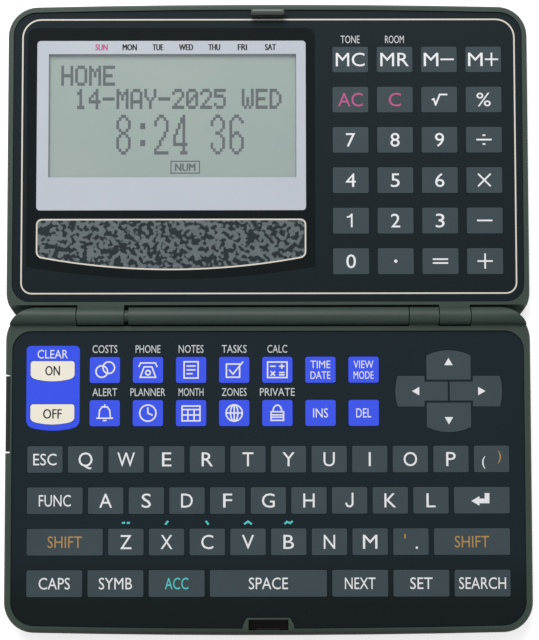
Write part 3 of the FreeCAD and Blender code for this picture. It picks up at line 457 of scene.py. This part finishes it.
# key finishes by slot: the printing round the keys goes on over their corners
keyLook = {"grain": 2600, "roughness": 0.55, "bump": 0.08}
keyFinishes = {
    "grey_key": {
        "tones": ((55, 67, 73), (73, 84, 89)), "around": (26, 36, 41), "shine": 0.08, "radius": 0.4 * mm,
    },
    "blue_key": {
        "tones": ((56, 80, 228), (66, 91, 242)), "around": (26, 36, 41), "shine": 0.15, "radius": 0.6 * mm,
    },
    "cream_key": {
        "tones": ((232, 226, 208), (246, 240, 226)), "around": (60, 85, 236), "shine": 0.25,
        "radius": 0.7 * mm, "bow": 0.9 * mm, "foot": 0.7 * mm, "below": 3 * mm,
    },
}
keyBanks = {
    "letter_keys": {"name": "letterKeys", "area": gridArea(letterGrid)},
    "command_keys": {"name": "commandKeys", "area": commandArea},
    "calculator_keys": {"name": "calculatorKeys", "area": gridArea(calculatorGrid), "around": (27, 36, 40)},
}


def keyPlastic(node, look):
    area = look["area"] if "area" in look else keyArea(node, look)

    def paint(place):
        speckle, shade = grainOf(place, keyLook["grain"])
        colour = area(place).mix(linear(*look["around"]), shade.tone(*look["tones"]))
        return plastic(speckle, colour, keyLook["roughness"], keyLook["bump"], look["shine"])
    return surface(look.get("name", node), paint)


for part in frame["record"]["subparts"]:
    node = part["node"]
    slotName = part["material_slot"]
    mesh = frame["nodes"][node].data
    mesh.materials.clear()
    if slotName in keyFinishes and "cursor" not in node:
        mesh.materials.append(keyPlastic(node, keyFinishes[slotName] | keyBanks.get(node, {})))
    else:
        mesh.materials.append(looks[slotName])
inks = {
    "white": ink("inkWhite", 238, 240, 243),
    "label": ink("inkLabel", 206, 210, 214),
    "cream": ink("inkCream", 222, 218, 208),
    "black": ink("inkBlack", 34, 36, 40),
    "pink": ink("inkPink", 188, 92, 142),
    "orange": ink("inkOrange", 178, 142, 86),
    "turquoise": ink("inkTurquoise", 88, 206, 202),
    "pixel": ink("inkPixel", 70, 80, 84),
}
print("materials made")

# prints lie just above the film, and what crosses lies at slightly other heights
printLook = {
    "lift": 0.015 * mm, "step": 0.002 * mm, "layers": 8, "boldStep": 0.003 * mm,
    "capShare": 0.69, "overlap": 0.9, "curve": 3,
}
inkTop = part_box("keyboard_film")[1].z + printLook["lift"]


def editing(on):
    bpy.ops.object.mode_set(mode="EDIT" if on else "OBJECT")


# opens a piece for editing with all its faces selected
def editAll():
    editing(True)
    bpy.ops.mesh.select_mode(type="FACE")
    bpy.ops.mesh.select_all(action="SELECT")


# opens a piece for editing with the vertices or faces selected that a rule picks
def editSome(piece, kind, rule):
    editing(True)
    bpy.ops.mesh.select_mode(type=kind)
    bpy.ops.mesh.select_all(action="DESELECT")
    editing(False)
    for item in piece.data.vertices if kind == "VERT" else piece.data.polygons:
        item.select = rule(item)
    editing(True)


def applyPlace():
    bpy.ops.object.transform_apply(location=True, rotation=True, scale=True)
    return bpy.context.object


# one lettering in mesh form, its middle at x and y
def lettering(words, x, y, z, cap, width=0.0):
    bpy.ops.object.text_add(location=(0, 0, 0))
    text = bpy.context.object.data
    text.body = words
    text.align_x = "CENTER"
    text.resolution_u = printLook["curve"]
    bpy.ops.object.convert(target="MESH")
    piece = bpy.context.object
    reach = [vertex.co.x for vertex in piece.data.vertices]
    tall = cap / printLook["capShare"]
    wide = width / (max(reach) - min(reach)) if width else tall
    piece.scale = (wide, tall, 1)
    piece.location = (x - wide * (max(reach) + min(reach)) / 2, y - cap / 2, z)
    return applyPlace()


# three letterings side by side
def boldLettering(words, x, y, z, cap, width, shift):
    step = printLook["boldStep"]
    return [lettering(words, x + side * shift, y, z + (side + 1) * step, cap, width) for side in (-1, 0, 1)]


# flat bars in one mesh: each is a middle, a length, a width and a turn
def bars(places, z):
    bpy.ops.mesh.primitive_plane_add(size=1, location=(0, 0, 0))
    piece = bpy.context.object
    editing(True)
    bpy.ops.mesh.select_all(action="SELECT")
    bpy.ops.mesh.delete(type="VERT")
    for index, (x, y, length, width, turn) in enumerate(places):
        middle = (x, y, z + index % printLook["layers"] * printLook["step"])
        bpy.ops.mesh.primitive_plane_add(size=1, location=middle)
        bpy.ops.transform.resize(value=(length, width, 1), center_override=middle)
        if turn:
            bpy.ops.transform.rotate(value=turn, orient_axis="Z", center_override=middle)
    editing(False)
    return piece


# lines of some width along chains of points in millimetres
def strokes(chains, x, y, z, width):
    places = []
    for chain in chains:
        for (startX, startY), (endX, endY) in zip(chain, chain[1:]):
            length = math.hypot(endX - startX, endY - startY) * mm + width * printLook["overlap"]
            turn = -math.atan2(endY - startY, endX - startX)
            places.append((x + (startX + endX) / 2 * mm, y + (startY + endY) / 2 * mm, length, width, turn))
    return bars(places, z)


# chains of points: a round or part of one, and a rectangle
def loop(x, y, acrossX, acrossY, steps=18, start=0.0, end=1.0):
    angles = [2 * math.pi * (start + (end - start) * step / steps) for step in range(steps + 1)]
    return [(x + acrossX * math.cos(angle), y + acrossY * math.sin(angle)) for angle in angles]


def rectangle(x, y, width, height):
    corners = ((-1, -1), (1, -1), (1, 1), (-1, 1), (-1, -1))
    return [(x + toX * width / 2, y + toY * height / 2) for toX, toY in corners]


def triangle(x, y, z, radius, turn):
    place = {"location": (x, y, z), "rotation": (0, 0, turn)}
    bpy.ops.mesh.primitive_circle_add(vertices=3, radius=radius, fill_type="NGON", **place)
    return applyPlace()


# joins pieces into one, names it and lets it ride on a body
def printed(name, body, material, pieces):
    bpy.ops.object.select_all(action="DESELECT")
    for piece in pieces:
        piece.select_set(True)
    bpy.context.view_layer.objects.active = pieces[0]
    if len(pieces) > 1:
        bpy.ops.object.join()
    whole = bpy.context.object
    whole.name = name
    whole.data.name = name
    whole.data.materials.clear()
    whole.data.materials.append(material)
    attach(whole, body)
    bpy.ops.object.select_all(action="DESELECT")
    return whole


def middleOf(node):
    low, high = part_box(node)
    return (low.x + high.x) / 2, (low.y + high.y) / 2


def shortName(node):
    return node.replace("key_", "")


# letter keys: rows of single letters with their widths, one of them drawn in strokes
letterLook = {
    "cap": 3.6 * mm, "rows": ("QWERTYUIOP", "ASDFGHJKL", "ZXCVBNM"), "line": 0.46 * mm,
    "hook": (((0.75, 1.75), (0.75, -0.75)), loop(-0.05, -0.7, 0.8, 0.85, steps=14, start=0.52)),
}
letterWidths = {
    "Q": 3.6, "W": 4.5, "E": 2.4, "R": 2.9, "T": 2.8, "Y": 3.1, "U": 2.9, "I": 0.0, "O": 3.5, "P": 2.45,
    "A": 3.25, "S": 2.4, "D": 3.0, "F": 2.3, "G": 3.3, "H": 2.9, "K": 3.0, "L": 2.3,
    "Z": 2.9, "X": 3.0, "C": 3.1, "V": 3.1, "B": 2.7, "N": 2.9, "M": 3.7,
}
whitePieces = []
for row, letters in enumerate(letterLook["rows"]):
    for column, letter in enumerate(letters):
        x, y = gridPlace(letterGrid, row, column)
        if letter == "J":
            whitePieces.append(strokes(letterLook["hook"], x, y, inkTop, letterLook["line"]))
        else:
            whitePieces.append(lettering(letter, x, y, inkTop, letterLook["cap"], letterWidths[letter] * mm))


# small signs on the last keys of two rows: sign, row and column, shift and height
def smallSigns(signs):
    pieces = []
    for sign, row, column, toX, toY, cap in signs:
        x, y = gridPlace(letterGrid, row, column)
        pieces.append(lettering(sign, x + toX * mm, y + toY * mm, inkTop, cap * mm))
    return pieces


whitePieces += smallSigns((("(", 0, 10, -2.0, -0.5, 2.4), (".", 2, 7, 1.5, 0.0, 3.6)))
printed("letterLegends", "letter_keys", inks["white"], whitePieces)
orangePieces = smallSigns(((")", 0, 10, 2.0, 0.9, 2.4), ("'", 2, 7, -1.5, 0.2, 3.2)))
printed("letterShiftLegends", "letter_keys", inks["orange"], orangePieces)

# words on the wider grey keys: words, grid, row, column and width
wordLook = {"cap": 2.95 * mm}
commandWords = (
    ("ESC", letterGrid, 0, -1, 6.0),
    ("FUNC", commandGrid, 1, 0, 8.2),
    ("CAPS", commandGrid, 3, 0, 8.0),
    ("SYMB", commandGrid, 3, 1, 8.5),
    ("NEXT", commandGrid, 3, 5, 7.8),
    ("SET", commandGrid, 3, 6, 5.7),
    ("SEARCH", commandGrid, 3, 7, 12.0),
)
accentWords = (("ACC", commandGrid, 3, 2, 6.0),)
for name, colour, entries in (
    ("commandLegends", "white", commandWords), ("accentLegend", "turquoise", accentWords),
):
    pieces = [
        lettering(words, *gridPlace(grid, row, column), inkTop, wordLook["cap"], width * mm)
        for words, grid, row, column, width in entries
    ]
    printed(name, "command_keys", inks[colour], pieces)
for node, words, width, colour in (
    ("key_space", "SPACE", 10.0, "white"),
    ("key_shift_left", "SHIFT", 8.8, "orange"),
    ("key_shift_right", "SHIFT", 8.8, "orange"),
):
    piece = lettering(words, *middleOf(node), inkTop, wordLook["cap"], width * mm)
    printed(shortName(node) + "Legend", node, inks[colour], [piece])

# the bent arrow: two bars as shift, length and width, and its head as shift and radius
enterLook = {
    "bars": ((0.35, -0.2, 3.2, 1.2), (1.35, 0.5, 1.2, 2.6)), "head": (-1.3, -0.2, 1.4), "lift": 0.006 * mm,
}
x, y = middleOf("key_enter")
places = []
for toX, toY, length, width in enterLook["bars"]:
    places.append((x + toX * mm, y + toY * mm, length * mm, width * mm, 0))
toX, toY, radius = [value * mm for value in enterLook["head"]]
arrow = bars(places, inkTop)
head = triangle(x + toX, y + toY, inkTop + enterLook["lift"], radius, math.pi / 2)
printed("enterArrow", "key_enter", inks["white"], [arrow, head])
print("letter legends made")

# small marks over the lower letters
accentLook = {"y": -53.0 * mm, "width": 0.5 * mm, "row": 2}
signs = (
    (((-0.8, 0), (-0.45, 0)), ((0.45, 0), (0.8, 0))),
    (((-0.2, -0.3), (0.25, 0.3)),),
    (((-0.25, 0.3), (0.2, -0.3)),),
    (((-0.8, -0.25), (0, 0.3), (0.8, -0.25)),),
    (((-0.9, -0.2), (-0.45, 0.2), (0.35, -0.1), (0.85, 0.25)),),
)
pieces = []
for column, chains in enumerate(signs):
    x = gridPlace(letterGrid, accentLook["row"], column)[0]
    pieces.append(strokes(chains, x, accentLook["y"], inkTop, accentLook["width"]))
printed("accentMarks", "base", inks["turquoise"], pieces)

# the power keys and their panel
powerLook = {
    "cap": 2.45 * mm, "lift": 0.15 * mm, "bold": 0.05 * mm,
    "labelY": -9.75 * mm, "labelCap": 2.2 * mm, "labelWidth": 7.8 * mm,
}
for node, words, width in (("key_on", "ON", 3.7), ("key_off", "OFF", 4.7)):
    x, y = middleOf(node)
    y += powerLook["lift"]
    pieces = boldLettering(words, x, y, inkTop, powerLook["cap"], width * mm, powerLook["bold"])
    printed(shortName(node) + "Legend", node, inks["black"], pieces)
x = middleOf("key_on")[0]
piece = lettering("CLEAR", x, powerLook["labelY"], inkTop, powerLook["labelCap"], powerLook["labelWidth"])
printed("powerLabel", "base", inks["white"], [piece])

# pictograms on the blue keys, drawn as chains of points in millimetres, with their labels
functionLook = {
    "line": 0.36 * mm, "labelCap": 2.0 * mm, "labelRise": 5.4 * mm,
    "letter": 1.28 * mm, "linePitch": 2.75 * mm,
}
pictograms = {
    "key_expenses": ("COSTS", (loop(-0.8, -0.4, 1.5, 1.5), loop(1.0, 0.6, 1.5, 1.5))),
    "key_telephone": ("PHONE", (
        ((-2.3, 0.9), (-1.9, 1.8), (1.9, 1.8), (2.3, 0.9)),
        ((-1.0, 0.8), (-2.0, -1.9), (2.0, -1.9), (1.0, 0.8), (-1.0, 0.8)),
        loop(0, -0.7, 0.6, 0.6, steps=10),
    )),
    "key_memo": ("NOTES", (
        rectangle(0, 0, 3.6, 4.2),
        ((-1.0, 1.0), (1.0, 1.0)), ((-1.0, 0), (1.0, 0)), ((-1.0, -1.0), (0.3, -1.0)),
    )),
    "key_tasks": ("TASKS", (rectangle(-0.3, -0.2, 3.4, 3.4), ((-1.2, -0.1), (-0.3, -1.1), (2.2, 2.0)))),
    "key_calculator": ("CALC", (
        rectangle(0, 0, 5.0, 4.0),
        ((-1.7, 0.9), (-0.6, 0.9)), ((0.6, 0.9), (1.7, 0.9)), ((1.15, 0.4), (1.15, 1.4)),
        ((-1.6, -0.5), (-0.7, -1.4)), ((-1.6, -1.4), (-0.7, -0.5)),
        ((0.6, -0.7), (1.7, -0.7)), ((0.6, -1.3), (1.7, -1.3)),
    )),
    "key_reminder": ("ALERT", (
        ((-2.0, -1.3), (2.0, -1.3)),
        ((-1.5, -1.3), (-1.3, 0.7), (-0.7, 1.6), (0.7, 1.6), (1.3, 0.7), (1.5, -1.3)),
        ((-0.3, -1.9), (0.3, -1.9)), ((0, 1.6), (0, 2.1)),
    )),
    "key_schedule": ("PLANNER", (loop(0, 0, 2.1, 2.1), ((0, 1.3), (0, 0), (1.1, -0.5)))),
    "key_calendar": ("MONTH", (
        rectangle(0, -0.1, 4.6, 3.8), ((-2.3, 0.9), (2.3, 0.9)),
        ((-0.8, 0.9), (-0.8, -2.0)), ((0.8, 0.9), (0.8, -2.0)), ((-2.3, -0.5), (2.3, -0.5)),
    )),
    "key_world_time": ("ZONES", (
        loop(0, 0, 2.1, 2.1), loop(0, 0, 0.95, 2.1), ((-2.1, 0), (2.1, 0)), ((0, -2.1), (0, 2.1)),
    )),
    "key_secret": ("PRIVATE", (
        rectangle(0, -0.8, 3.2, 2.2),
        ((-1.3, -0.5), (1.3, -0.5)), ((-1.3, -1.1), (1.3, -1.1)),
        loop(0, 0.5, 1.1, 1.5, steps=10, end=0.5),
    )),
}
labels = []
for node, (words, chains) in pictograms.items():
    x, y = middleOf(node)
    piece = strokes(chains, x, y, inkTop, functionLook["line"])
    printed(shortName(node) + "Sign", node, inks["white"], [piece])
    y += functionLook["labelRise"]
    width = len(words) * functionLook["letter"]
    labels.append(lettering(words, x, y, inkTop, functionLook["labelCap"], width))
printed("functionLabels", "base", inks["label"], labels)
for node, lines, cap in (
    ("key_time", ("TIME", "DATE"), 1.95), ("key_insert", ("INS",), 2.35),
    ("key_view", ("VIEW", "MODE"), 1.95), ("key_delete", ("DEL",), 2.35),
):
    x, y = middleOf(node)
    pieces = []
    for index, words in enumerate(lines):
        lineY = y + ((len(lines) - 1) / 2 - index) * functionLook["linePitch"]
        pieces.append(lettering(words, x, lineY, inkTop, cap * mm, len(words) * functionLook["letter"]))
    printed(shortName(node) + "Sign", node, inks["white"], pieces)

# arrows on the cursor keys
cursorLook = {
    "radius": 1.25 * mm, "middleX": 46.45 * mm, "middleY": -19.4 * mm,
    "acrossX": 8.2 * mm, "acrossY": 7.3 * mm,
}
for node, toX, toY, turn in (
    ("key_cursor_up", 0, 1, 0), ("key_cursor_down", 0, -1, math.pi),
    ("key_cursor_left", -1, 0, math.pi / 2), ("key_cursor_right", 1, 0, -math.pi / 2),
):
    x = cursorLook["middleX"] + toX * cursorLook["acrossX"]
    y = cursorLook["middleY"] + toY * cursorLook["acrossY"]
    piece = triangle(x, y, inkTop, cursorLook["radius"], turn)
    printed(shortName(node) + "Arrow", node, inks["white"], [piece])
print("function legends made")

# calculator keys, from the hinge towards the front edge: words or signs and their widths
calculatorLook = {
    "cap": 3.55 * mm, "line": 0.42 * mm, "memoryX": -2.05 * mm, "memoryWidth": 3.8 * mm,
    "labels": ("TONE", "ROOM"), "labelRow": 5, "labelRise": 5.3 * mm,
    "labelCap": 2.0 * mm, "labelWidth": 4.9 * mm,
}
calculatorRows = (
    (("0", 2.5), (".", 0), ("=", 0), ("+", 0)),
    (("1", 0), ("2", 2.4), ("3", 2.3), ("-", 0)),
    (("4", 2.6), ("5", 2.3), ("6", 2.4), ("×", 0)),
    (("7", 2.4), ("8", 2.4), ("9", 2.4), ("÷", 0)),
    (("AC", 6.4), ("C", 3.2), ("root", 0), ("%", 3.7)),
    (("MC", 7.5), ("MR", 7.4), ("M-", 0), ("M+", 0)),
)
minus = ((-1.8, 0), (1.8, 0))
memoryMinus = ((0.6, 0), (3.7, 0))
calculatorSigns = {
    ".": (((-0.25, 0), (0.25, 0)), ((0, -0.25), (0, 0.25))),
    "=": (((-1.8, 0.5), (1.8, 0.5)), ((-1.8, -0.5), (1.8, -0.5))),
    "+": (minus, ((0, -1.8), (0, 1.8))),
    "-": (minus,),
    "×": (((-1.5, -1.5), (1.5, 1.5)), ((-1.5, 1.5), (1.5, -1.5))),
    "÷": (minus, ((-0.18, 1.15), (0.18, 1.15)), ((-0.18, -1.15), (0.18, -1.15))),
    "1": (((-0.85, 0.95), (-0.3, 1.1), (0.2, 1.6), (0.2, -1.55)),),
    "root": (((-1.75, 0.0), (-1.4, 0.15), (-0.93, -1.4), (0.15, 1.3), (1.95, 1.3)),),
    "M-": (memoryMinus,),
    "M+": (memoryMinus, ((2.15, -1.55), (2.15, 1.55))),
}
whitePieces = []
pinkPieces = []
cap = calculatorLook["cap"]
for row, entries in enumerate(calculatorRows):
    for column, (words, width) in enumerate(entries):
        x, y = gridPlace(calculatorGrid, row, column)
        if words in calculatorSigns:
            whitePieces.append(strokes(calculatorSigns[words], x, y, inkTop, calculatorLook["line"]))
        else:
            target = pinkPieces if words in ("AC", "C") else whitePieces
            target.append(lettering(words, x, y, inkTop, cap, width * mm))
        if words in ("M-", "M+"):
            x += calculatorLook["memoryX"]
            whitePieces.append(lettering("M", x, y, inkTop, cap, calculatorLook["memoryWidth"]))
printed("calculatorLegends", "calculator_keys", inks["white"], whitePieces)
printed("clearLegends", "calculator_keys", inks["pink"], pinkPieces)
pieces = []
for column, words in enumerate(calculatorLook["labels"]):
    x, y = gridPlace(calculatorGrid, calculatorLook["labelRow"], column)
    y += calculatorLook["labelRise"]
    pieces.append(lettering(words, x, y, inkTop, calculatorLook["labelCap"], calculatorLook["labelWidth"]))
printed("calculatorLabels", "lid", inks["label"], pieces)
print("calculator legends made")


# stretches a unit piece over a span, and leaves a flat one flat
def spanned(piece, left, right, low, high, bottom, top):
    piece.scale = (right - left, high - low, top - bottom or 1)
    piece.location = ((left + right) / 2, (low + high) / 2, (bottom + top) / 2)
    return applyPlace()


def roundCorners(radius, segments):
    bpy.ops.mesh.bevel(offset=radius, segments=segments, affect="VERTICES", profile=0.5)


plateLook = {"segments": 8, "reach": 0.1 * mm}


# a flat plate with round corners, one radius at its front end and one at its rear end
def plate(left, right, low, high, z, frontRadius, rearRadius):
    bpy.ops.mesh.primitive_plane_add(size=1, location=(0, 0, 0))
    piece = spanned(bpy.context.object, left, right, low, high, z, z)
    for radius, end in ((frontRadius, high), (rearRadius, low)):
        editSome(piece, "VERT", lambda vertex: abs(vertex.co.y - end) < plateLook["reach"])
        roundCorners(radius, plateLook["segments"])
        editing(False)
    return piece


# keeps only a line along the edge of a flat plate
def edgeLine(piece, width):
    editAll()
    bpy.ops.mesh.inset(thickness=width, depth=0)
    bpy.ops.mesh.delete(type="FACE")
    editing(False)
    return piece


# the cream line round the lid
lineLook = {
    "left": -64.0 * mm, "right": 64.4 * mm, "low": 5.7 * mm, "high": 77.75 * mm,
    "front": 5.0 * mm, "rear": 2.9 * mm, "width": 0.38 * mm,
}
piece = plate(*sidesOf(lineLook), inkTop, lineLook["front"], lineLook["rear"])
printed("lidLine", "lid", inks["cream"], [edgeLine(piece, lineLook["width"])])


def applyModifier(piece, kind, settings):
    modifier = piece.modifiers.new(kind, kind)
    for name, value in settings.items():
        setattr(modifier, name, value)
    bpy.ops.object.select_all(action="DESELECT")
    piece.select_set(True)
    bpy.context.view_layer.objects.active = piece
    bpy.ops.object.modifier_apply(modifier=modifier.name)


def block(left, right, low, high, bottom, top):
    bpy.ops.mesh.primitive_cube_add(size=1, location=(0, 0, 0))
    return spanned(bpy.context.object, left, right, low, high, bottom, top)


def cutBy(piece, tool, operation):
    applyModifier(piece, "BOOLEAN", {"operation": operation, "object": tool, "solver": "EXACT"})
    bpy.data.objects.remove(tool, do_unlink=True)
    return piece


# the cream line round the badge: its box cut by a wide round, and only the upper edge kept
badgeLook = {
    "sag": 3.35 * mm, "corner": 1.5 * mm, "segments": 6, "line": 0.38 * mm, "thin": 0.2 * mm,
    "reach": 0.05 * mm, "sides": 480, "depth": 4 * mm, "upward": 0.5,
}
low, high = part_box("badge_plate")
half = (high.x - low.x) / 2
badgeRadius = (half * half + badgeLook["sag"] ** 2) / (2 * badgeLook["sag"])
piece = block(low.x, high.x, low.y, high.y, inkTop - badgeLook["thin"], inkTop)
middleX = (low.x + high.x) / 2
bpy.ops.mesh.primitive_cylinder_add(
    vertices=badgeLook["sides"], radius=badgeRadius, depth=badgeLook["depth"],
    location=(middleX, low.y + badgeRadius, inkTop),
)
piece = cutBy(piece, bpy.context.object, "INTERSECT")
editSome(piece, "FACE", lambda face: face.normal.z < badgeLook["upward"])
bpy.ops.mesh.delete(type="FACE")
editing(False)
editSome(piece, "VERT", lambda vertex: abs(abs(vertex.co.x - middleX) - half) < badgeLook["reach"])
roundCorners(badgeLook["corner"], badgeLook["segments"])
editing(False)
printed("badgeLine", "lid", inks["cream"], [edgeLine(piece, badgeLook["line"])])

# the silver border round the display, with its clear pane
borderLook = {
    "left": 3.05 * mm, "right": 2.5 * mm, "front": 3.5 * mm, "rear": 8.65 * mm, "corner": 0.9 * mm,
    "pane": 0.12 * mm, "lip": 0.25 * mm, "foot": 0.06 * mm, "lipTop": 0.1 * mm,
    "below": 2 * mm, "above": 1 * mm, "bevel": 0.05 * mm,
}
low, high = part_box("display_window")
piece = plate(low.x, high.x, low.y, high.y, low.z, borderLook["corner"], borderLook["corner"])
editAll()
bpy.ops.mesh.extrude_region_move(TRANSFORM_OT_translate={"value": (0, 0, high.z - low.z)})
bpy.ops.mesh.select_all(action="SELECT")
bpy.ops.mesh.normals_make_consistent(inside=False)
editing(False)
left = low.x + borderLook["left"]
right = high.x - borderLook["right"]
rear = low.y + borderLook["rear"]
front = high.y - borderLook["front"]
lip = borderLook["lip"]
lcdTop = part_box("lcd_panel")[1].z
lipSpan = (lcdTop + borderLook["foot"], low.z + borderLook["lipTop"])
cutBy(piece, block(left - lip, right + lip, rear - lip, front + lip, *lipSpan), "UNION")
holeSpan = (low.z - borderLook["below"], high.z + borderLook["above"])
cutBy(piece, block(left, right, rear, front, *holeSpan), "DIFFERENCE")
applyModifier(piece, "BEVEL", {"width": borderLook["bevel"], "segments": 1, "limit_method": "ANGLE"})
border = printed("displayBorder", "lid", looks["window"], [piece])
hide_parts("display_window")
pane = block(left, right, rear, front, low.z, low.z + borderLook["pane"])
printed("displayPane", "lid", surface("paneClear", paintPane), [pane])
print("display border made")

# days over the display
dayLook = {"cap": 1.6 * mm, "first": -43.3 * mm, "pitch": 7.34 * mm, "rise": 1.8 * mm, "bold": 0.08 * mm}
dayWidths = (("SUN", 3.1), ("MON", 3.6), ("TUE", 2.7), ("WED", 3.6), ("THU", 3.0), ("FRI", 2.3), ("SAT", 2.8))
dayY = front + dayLook["rise"]
dayTop = high.z + printLook["lift"]
days = []
for index, (words, width) in enumerate(dayWidths):
    x = dayLook["first"] + index * dayLook["pitch"]
    days.append(boldLettering(words, x, dayY, dayTop, dayLook["cap"], width * mm, dayLook["bold"]))
printed("sundayLabel", "lid", inks["pink"], days[0])
printed("dayLabels", "lid", inks["black"], sum(days[1:], []))

# characters of the display: five by seven dots as rows of bits, and taller digits as rows of dots
dotLook = {
    "pitchX": 0.605 * mm, "pitchY": 0.74 * mm, "dot": 1.18, "rise": 0.02 * mm,
    "columns": 5, "rows": 7, "step": 6, "tallColumns": 6,
}
smallDots = {
    "0": "0E11131519110E", "1": "040C040404040E", "2": "0E11010204081F", "4": "02060A121F0202",
    "5": "1F101E0101110E", "-": "0000001F000000", "H": "1111111F111111", "O": "0E11111111110E",
    "M": "111B1515111111", "E": "1F10101E10101F", "A": "0E1111111F1111", "Y": "1111110A040404",
    "W": "1111111515150A", "D": "1C12111111121C",
}
tallDots = {
    "2": ("0C", "12", "21*2", "01*2", "02*2", "04", "08*2", "10", "20", "3F"),
    "3": ("0C", "12", "21*2", "01", "02", "0C", "02", "01*2", "21*2", "12", "0C"),
    "4": ("02", "06*2", "0A*2", "12*2", "22*3", "3F", "02*2", "07"),
    "6": ("0C", "12", "21", "20*3", "2C", "32", "21*4", "12", "0C"),
    "8": ("0C", "12", "21*3", "12", "0C", "12", "21*4", "12", "0C"),
    ":": ("00*3", "0C*2", "00*4", "0C*2", "00*3"),
}
displayLines = (("HOME", -53.85 * mm, 65.65 * mm), ("14-MAY-2025 WED", -50.3 * mm, 59.5 * mm))
tallY = 52.7 * mm
tallPlaces = (("8", -39.4), (":", -34.4), ("2", -29.55), ("4", -24.6), ("3", -14.85), ("6", -9.95))
# the small box in the last line, its sides in millimetres
boxLook = {
    "x": -21.5 * mm, "y": 38.95 * mm, "width": 7.4, "height": 3.1, "line": 0.3 * mm,
    "words": "NUM", "cap": 2.0 * mm, "wordWidth": 5.2 * mm, "bold": 0.1 * mm,
}


def dotRows(bits, columns):
    rows = []
    for entry in bits:
        value, _, times = entry.partition("*")
        row = [int(value, 16) >> (columns - 1 - column) & 1 for column in range(columns)]
        rows += [row] * int(times or 1)
    return rows


# each run of dots in a row is one bar
def dotBars(rows, x, y):
    places = []
    wide = dotLook["pitchX"]
    tall = dotLook["pitchY"]
    size = dotLook["dot"]
    for index, row in enumerate(rows):
        start = 0
        while start < len(row):
            end = start
            while end < len(row) and row[end]:
                end += 1
            if end > start:
                middle = x + (start + end) / 2 * wide
                length = (end - start - 1 + size) * wide
                places.append((middle, y - (index + 0.5) * tall, length, size * tall, 0))
            start = end + 1
    return places


dotTop = lcdTop + dotLook["rise"]
places = []
for words, x, y in displayLines:
    for index, letter in enumerate(words):
        if letter != " ":
            bits = [smallDots[letter][step:step + 2] for step in range(0, dotLook["rows"] * 2, 2)]
            letterX = x + index * dotLook["step"] * dotLook["pitchX"]
            places += dotBars(dotRows(bits, dotLook["columns"]), letterX, y)
for letter, x in tallPlaces:
    places += dotBars(dotRows(tallDots[letter], dotLook["tallColumns"]), x * mm, tallY)
pixels = bars(places, dotTop)
boxChain = rectangle(0, 0, boxLook["width"], boxLook["height"])
boxPlace = (boxLook["x"], boxLook["y"], dotTop)
boxPiece = strokes((boxChain,), *boxPlace, boxLook["line"])
boxWords = boldLettering(boxLook["words"], *boxPlace, boxLook["cap"], boxLook["wordWidth"], boxLook["bold"])
printed("displayDots", "lid", inks["pixel"], [pixels, boxPiece, *boxWords])
print("display characters made")

# cross slots in the heads of the screws below
slotLook = {
    "x": 62.22 * mm, "rear": -8.5 * mm, "front": -73.52 * mm, "z": 0.22 * mm,
    "length": 2.0 * mm, "width": 0.42 * mm,
}
places = []
for x in (-slotLook["x"], slotLook["x"]):
    for y in (slotLook["rear"], slotLook["front"]):
        places.append((x, y, slotLook["length"], slotLook["width"], 0))
        places.append((x, y, slotLook["width"], slotLook["length"], 0))
piece = bars(places, slotLook["z"])
editAll()
bpy.ops.mesh.flip_normals()
editing(False)
printed("screwSlots", "base", inks["black"], [piece])
print("screw slots made")

# floor, light and camera
floorLook = {
    "size": 4, "z": -0.05 * mm, "low": (0.78, 0.78, 0.78, 1), "high": (0.8, 0.8, 0.8, 1),
    "dark": (0, 0, 0, 1), "glow": (0.58, 0.58, 0.58, 1), "cloudScale": 3, "roughness": 0.9,
}
bpy.ops.mesh.primitive_plane_add(size=floorLook["size"], location=(0, 0, floorLook["z"]))
floor = bpy.context.object
floor.name = "floor"


# white to the camera and to mirror-like surfaces, with the object's shadow kept
def paintFloor(place):
    look = floorLook
    kinds = ("Is Camera Ray", "Is Glossy Ray", "Is Transmission Ray")
    rays = [place.node("ShaderNodeLightPath", {}, {}, kind) for kind in kinds]
    seen = rays[0].atLeast(rays[1]).atLeast(rays[2])
    return {
        "Base Color": place.noise(look["cloudScale"], 1.0).mix(look["low"], look["high"]),
        "Roughness": look["roughness"], "Specular IOR Level": 0.0,
        "Emission Color": seen.mix(look["dark"], look["glow"]), "Emission Strength": 1.0,
    }


floor.data.materials.append(surface("floorPale", paintFloor))
world = bpy.data.worlds.new("studio")
bpy.context.scene.world = world
world.use_nodes = True
lightLook = {"place": (-0.12, 0.48, 0.6), "size": 0.55, "power": 4.6, "world": 0.46}
background = world.node_tree.nodes["Background"]
background.inputs["Color"].default_value = (1, 1, 1, 1)
background.inputs["Strength"].default_value = lightLook["world"]
bpy.ops.object.light_add(type="AREA", location=lightLook["place"])
lamp = bpy.context.object
lamp.data.shape = "DISK"
lamp.data.size = lightLook["size"]
lamp.data.energy = lightLook["power"]
lamp.rotation_mode = "QUATERNION"
lamp.rotation_quaternion = lamp.location.to_track_quat("Z", "Y")
cameraLook = {
    "target": (0.33 * mm, -1.03 * mm, 7.3 * mm), "distance": 450 * mm, "tilt": 3.8, "roll": -0.08,
    "lens": 98.2, "sensor": 36, "near": 0.01, "far": 20,
}
tilt = math.radians(cameraLook["tilt"])
targetX, targetY, targetZ = cameraLook["target"]
reach = cameraLook["distance"]
cameraPlace = (targetX, targetY - reach * math.sin(tilt), targetZ + reach * math.cos(tilt))
bpy.ops.object.camera_add(location=cameraPlace, rotation=(tilt, 0, math.radians(cameraLook["roll"])))
camera = bpy.context.object
camera.data.lens = cameraLook["lens"]
camera.data.sensor_width = cameraLook["sensor"]
camera.data.clip_start = cameraLook["near"]
camera.data.clip_end = cameraLook["far"]
bpy.context.scene.camera = camera
bpy.context.scene.view_settings.view_transform = "Standard"
print("stage made")
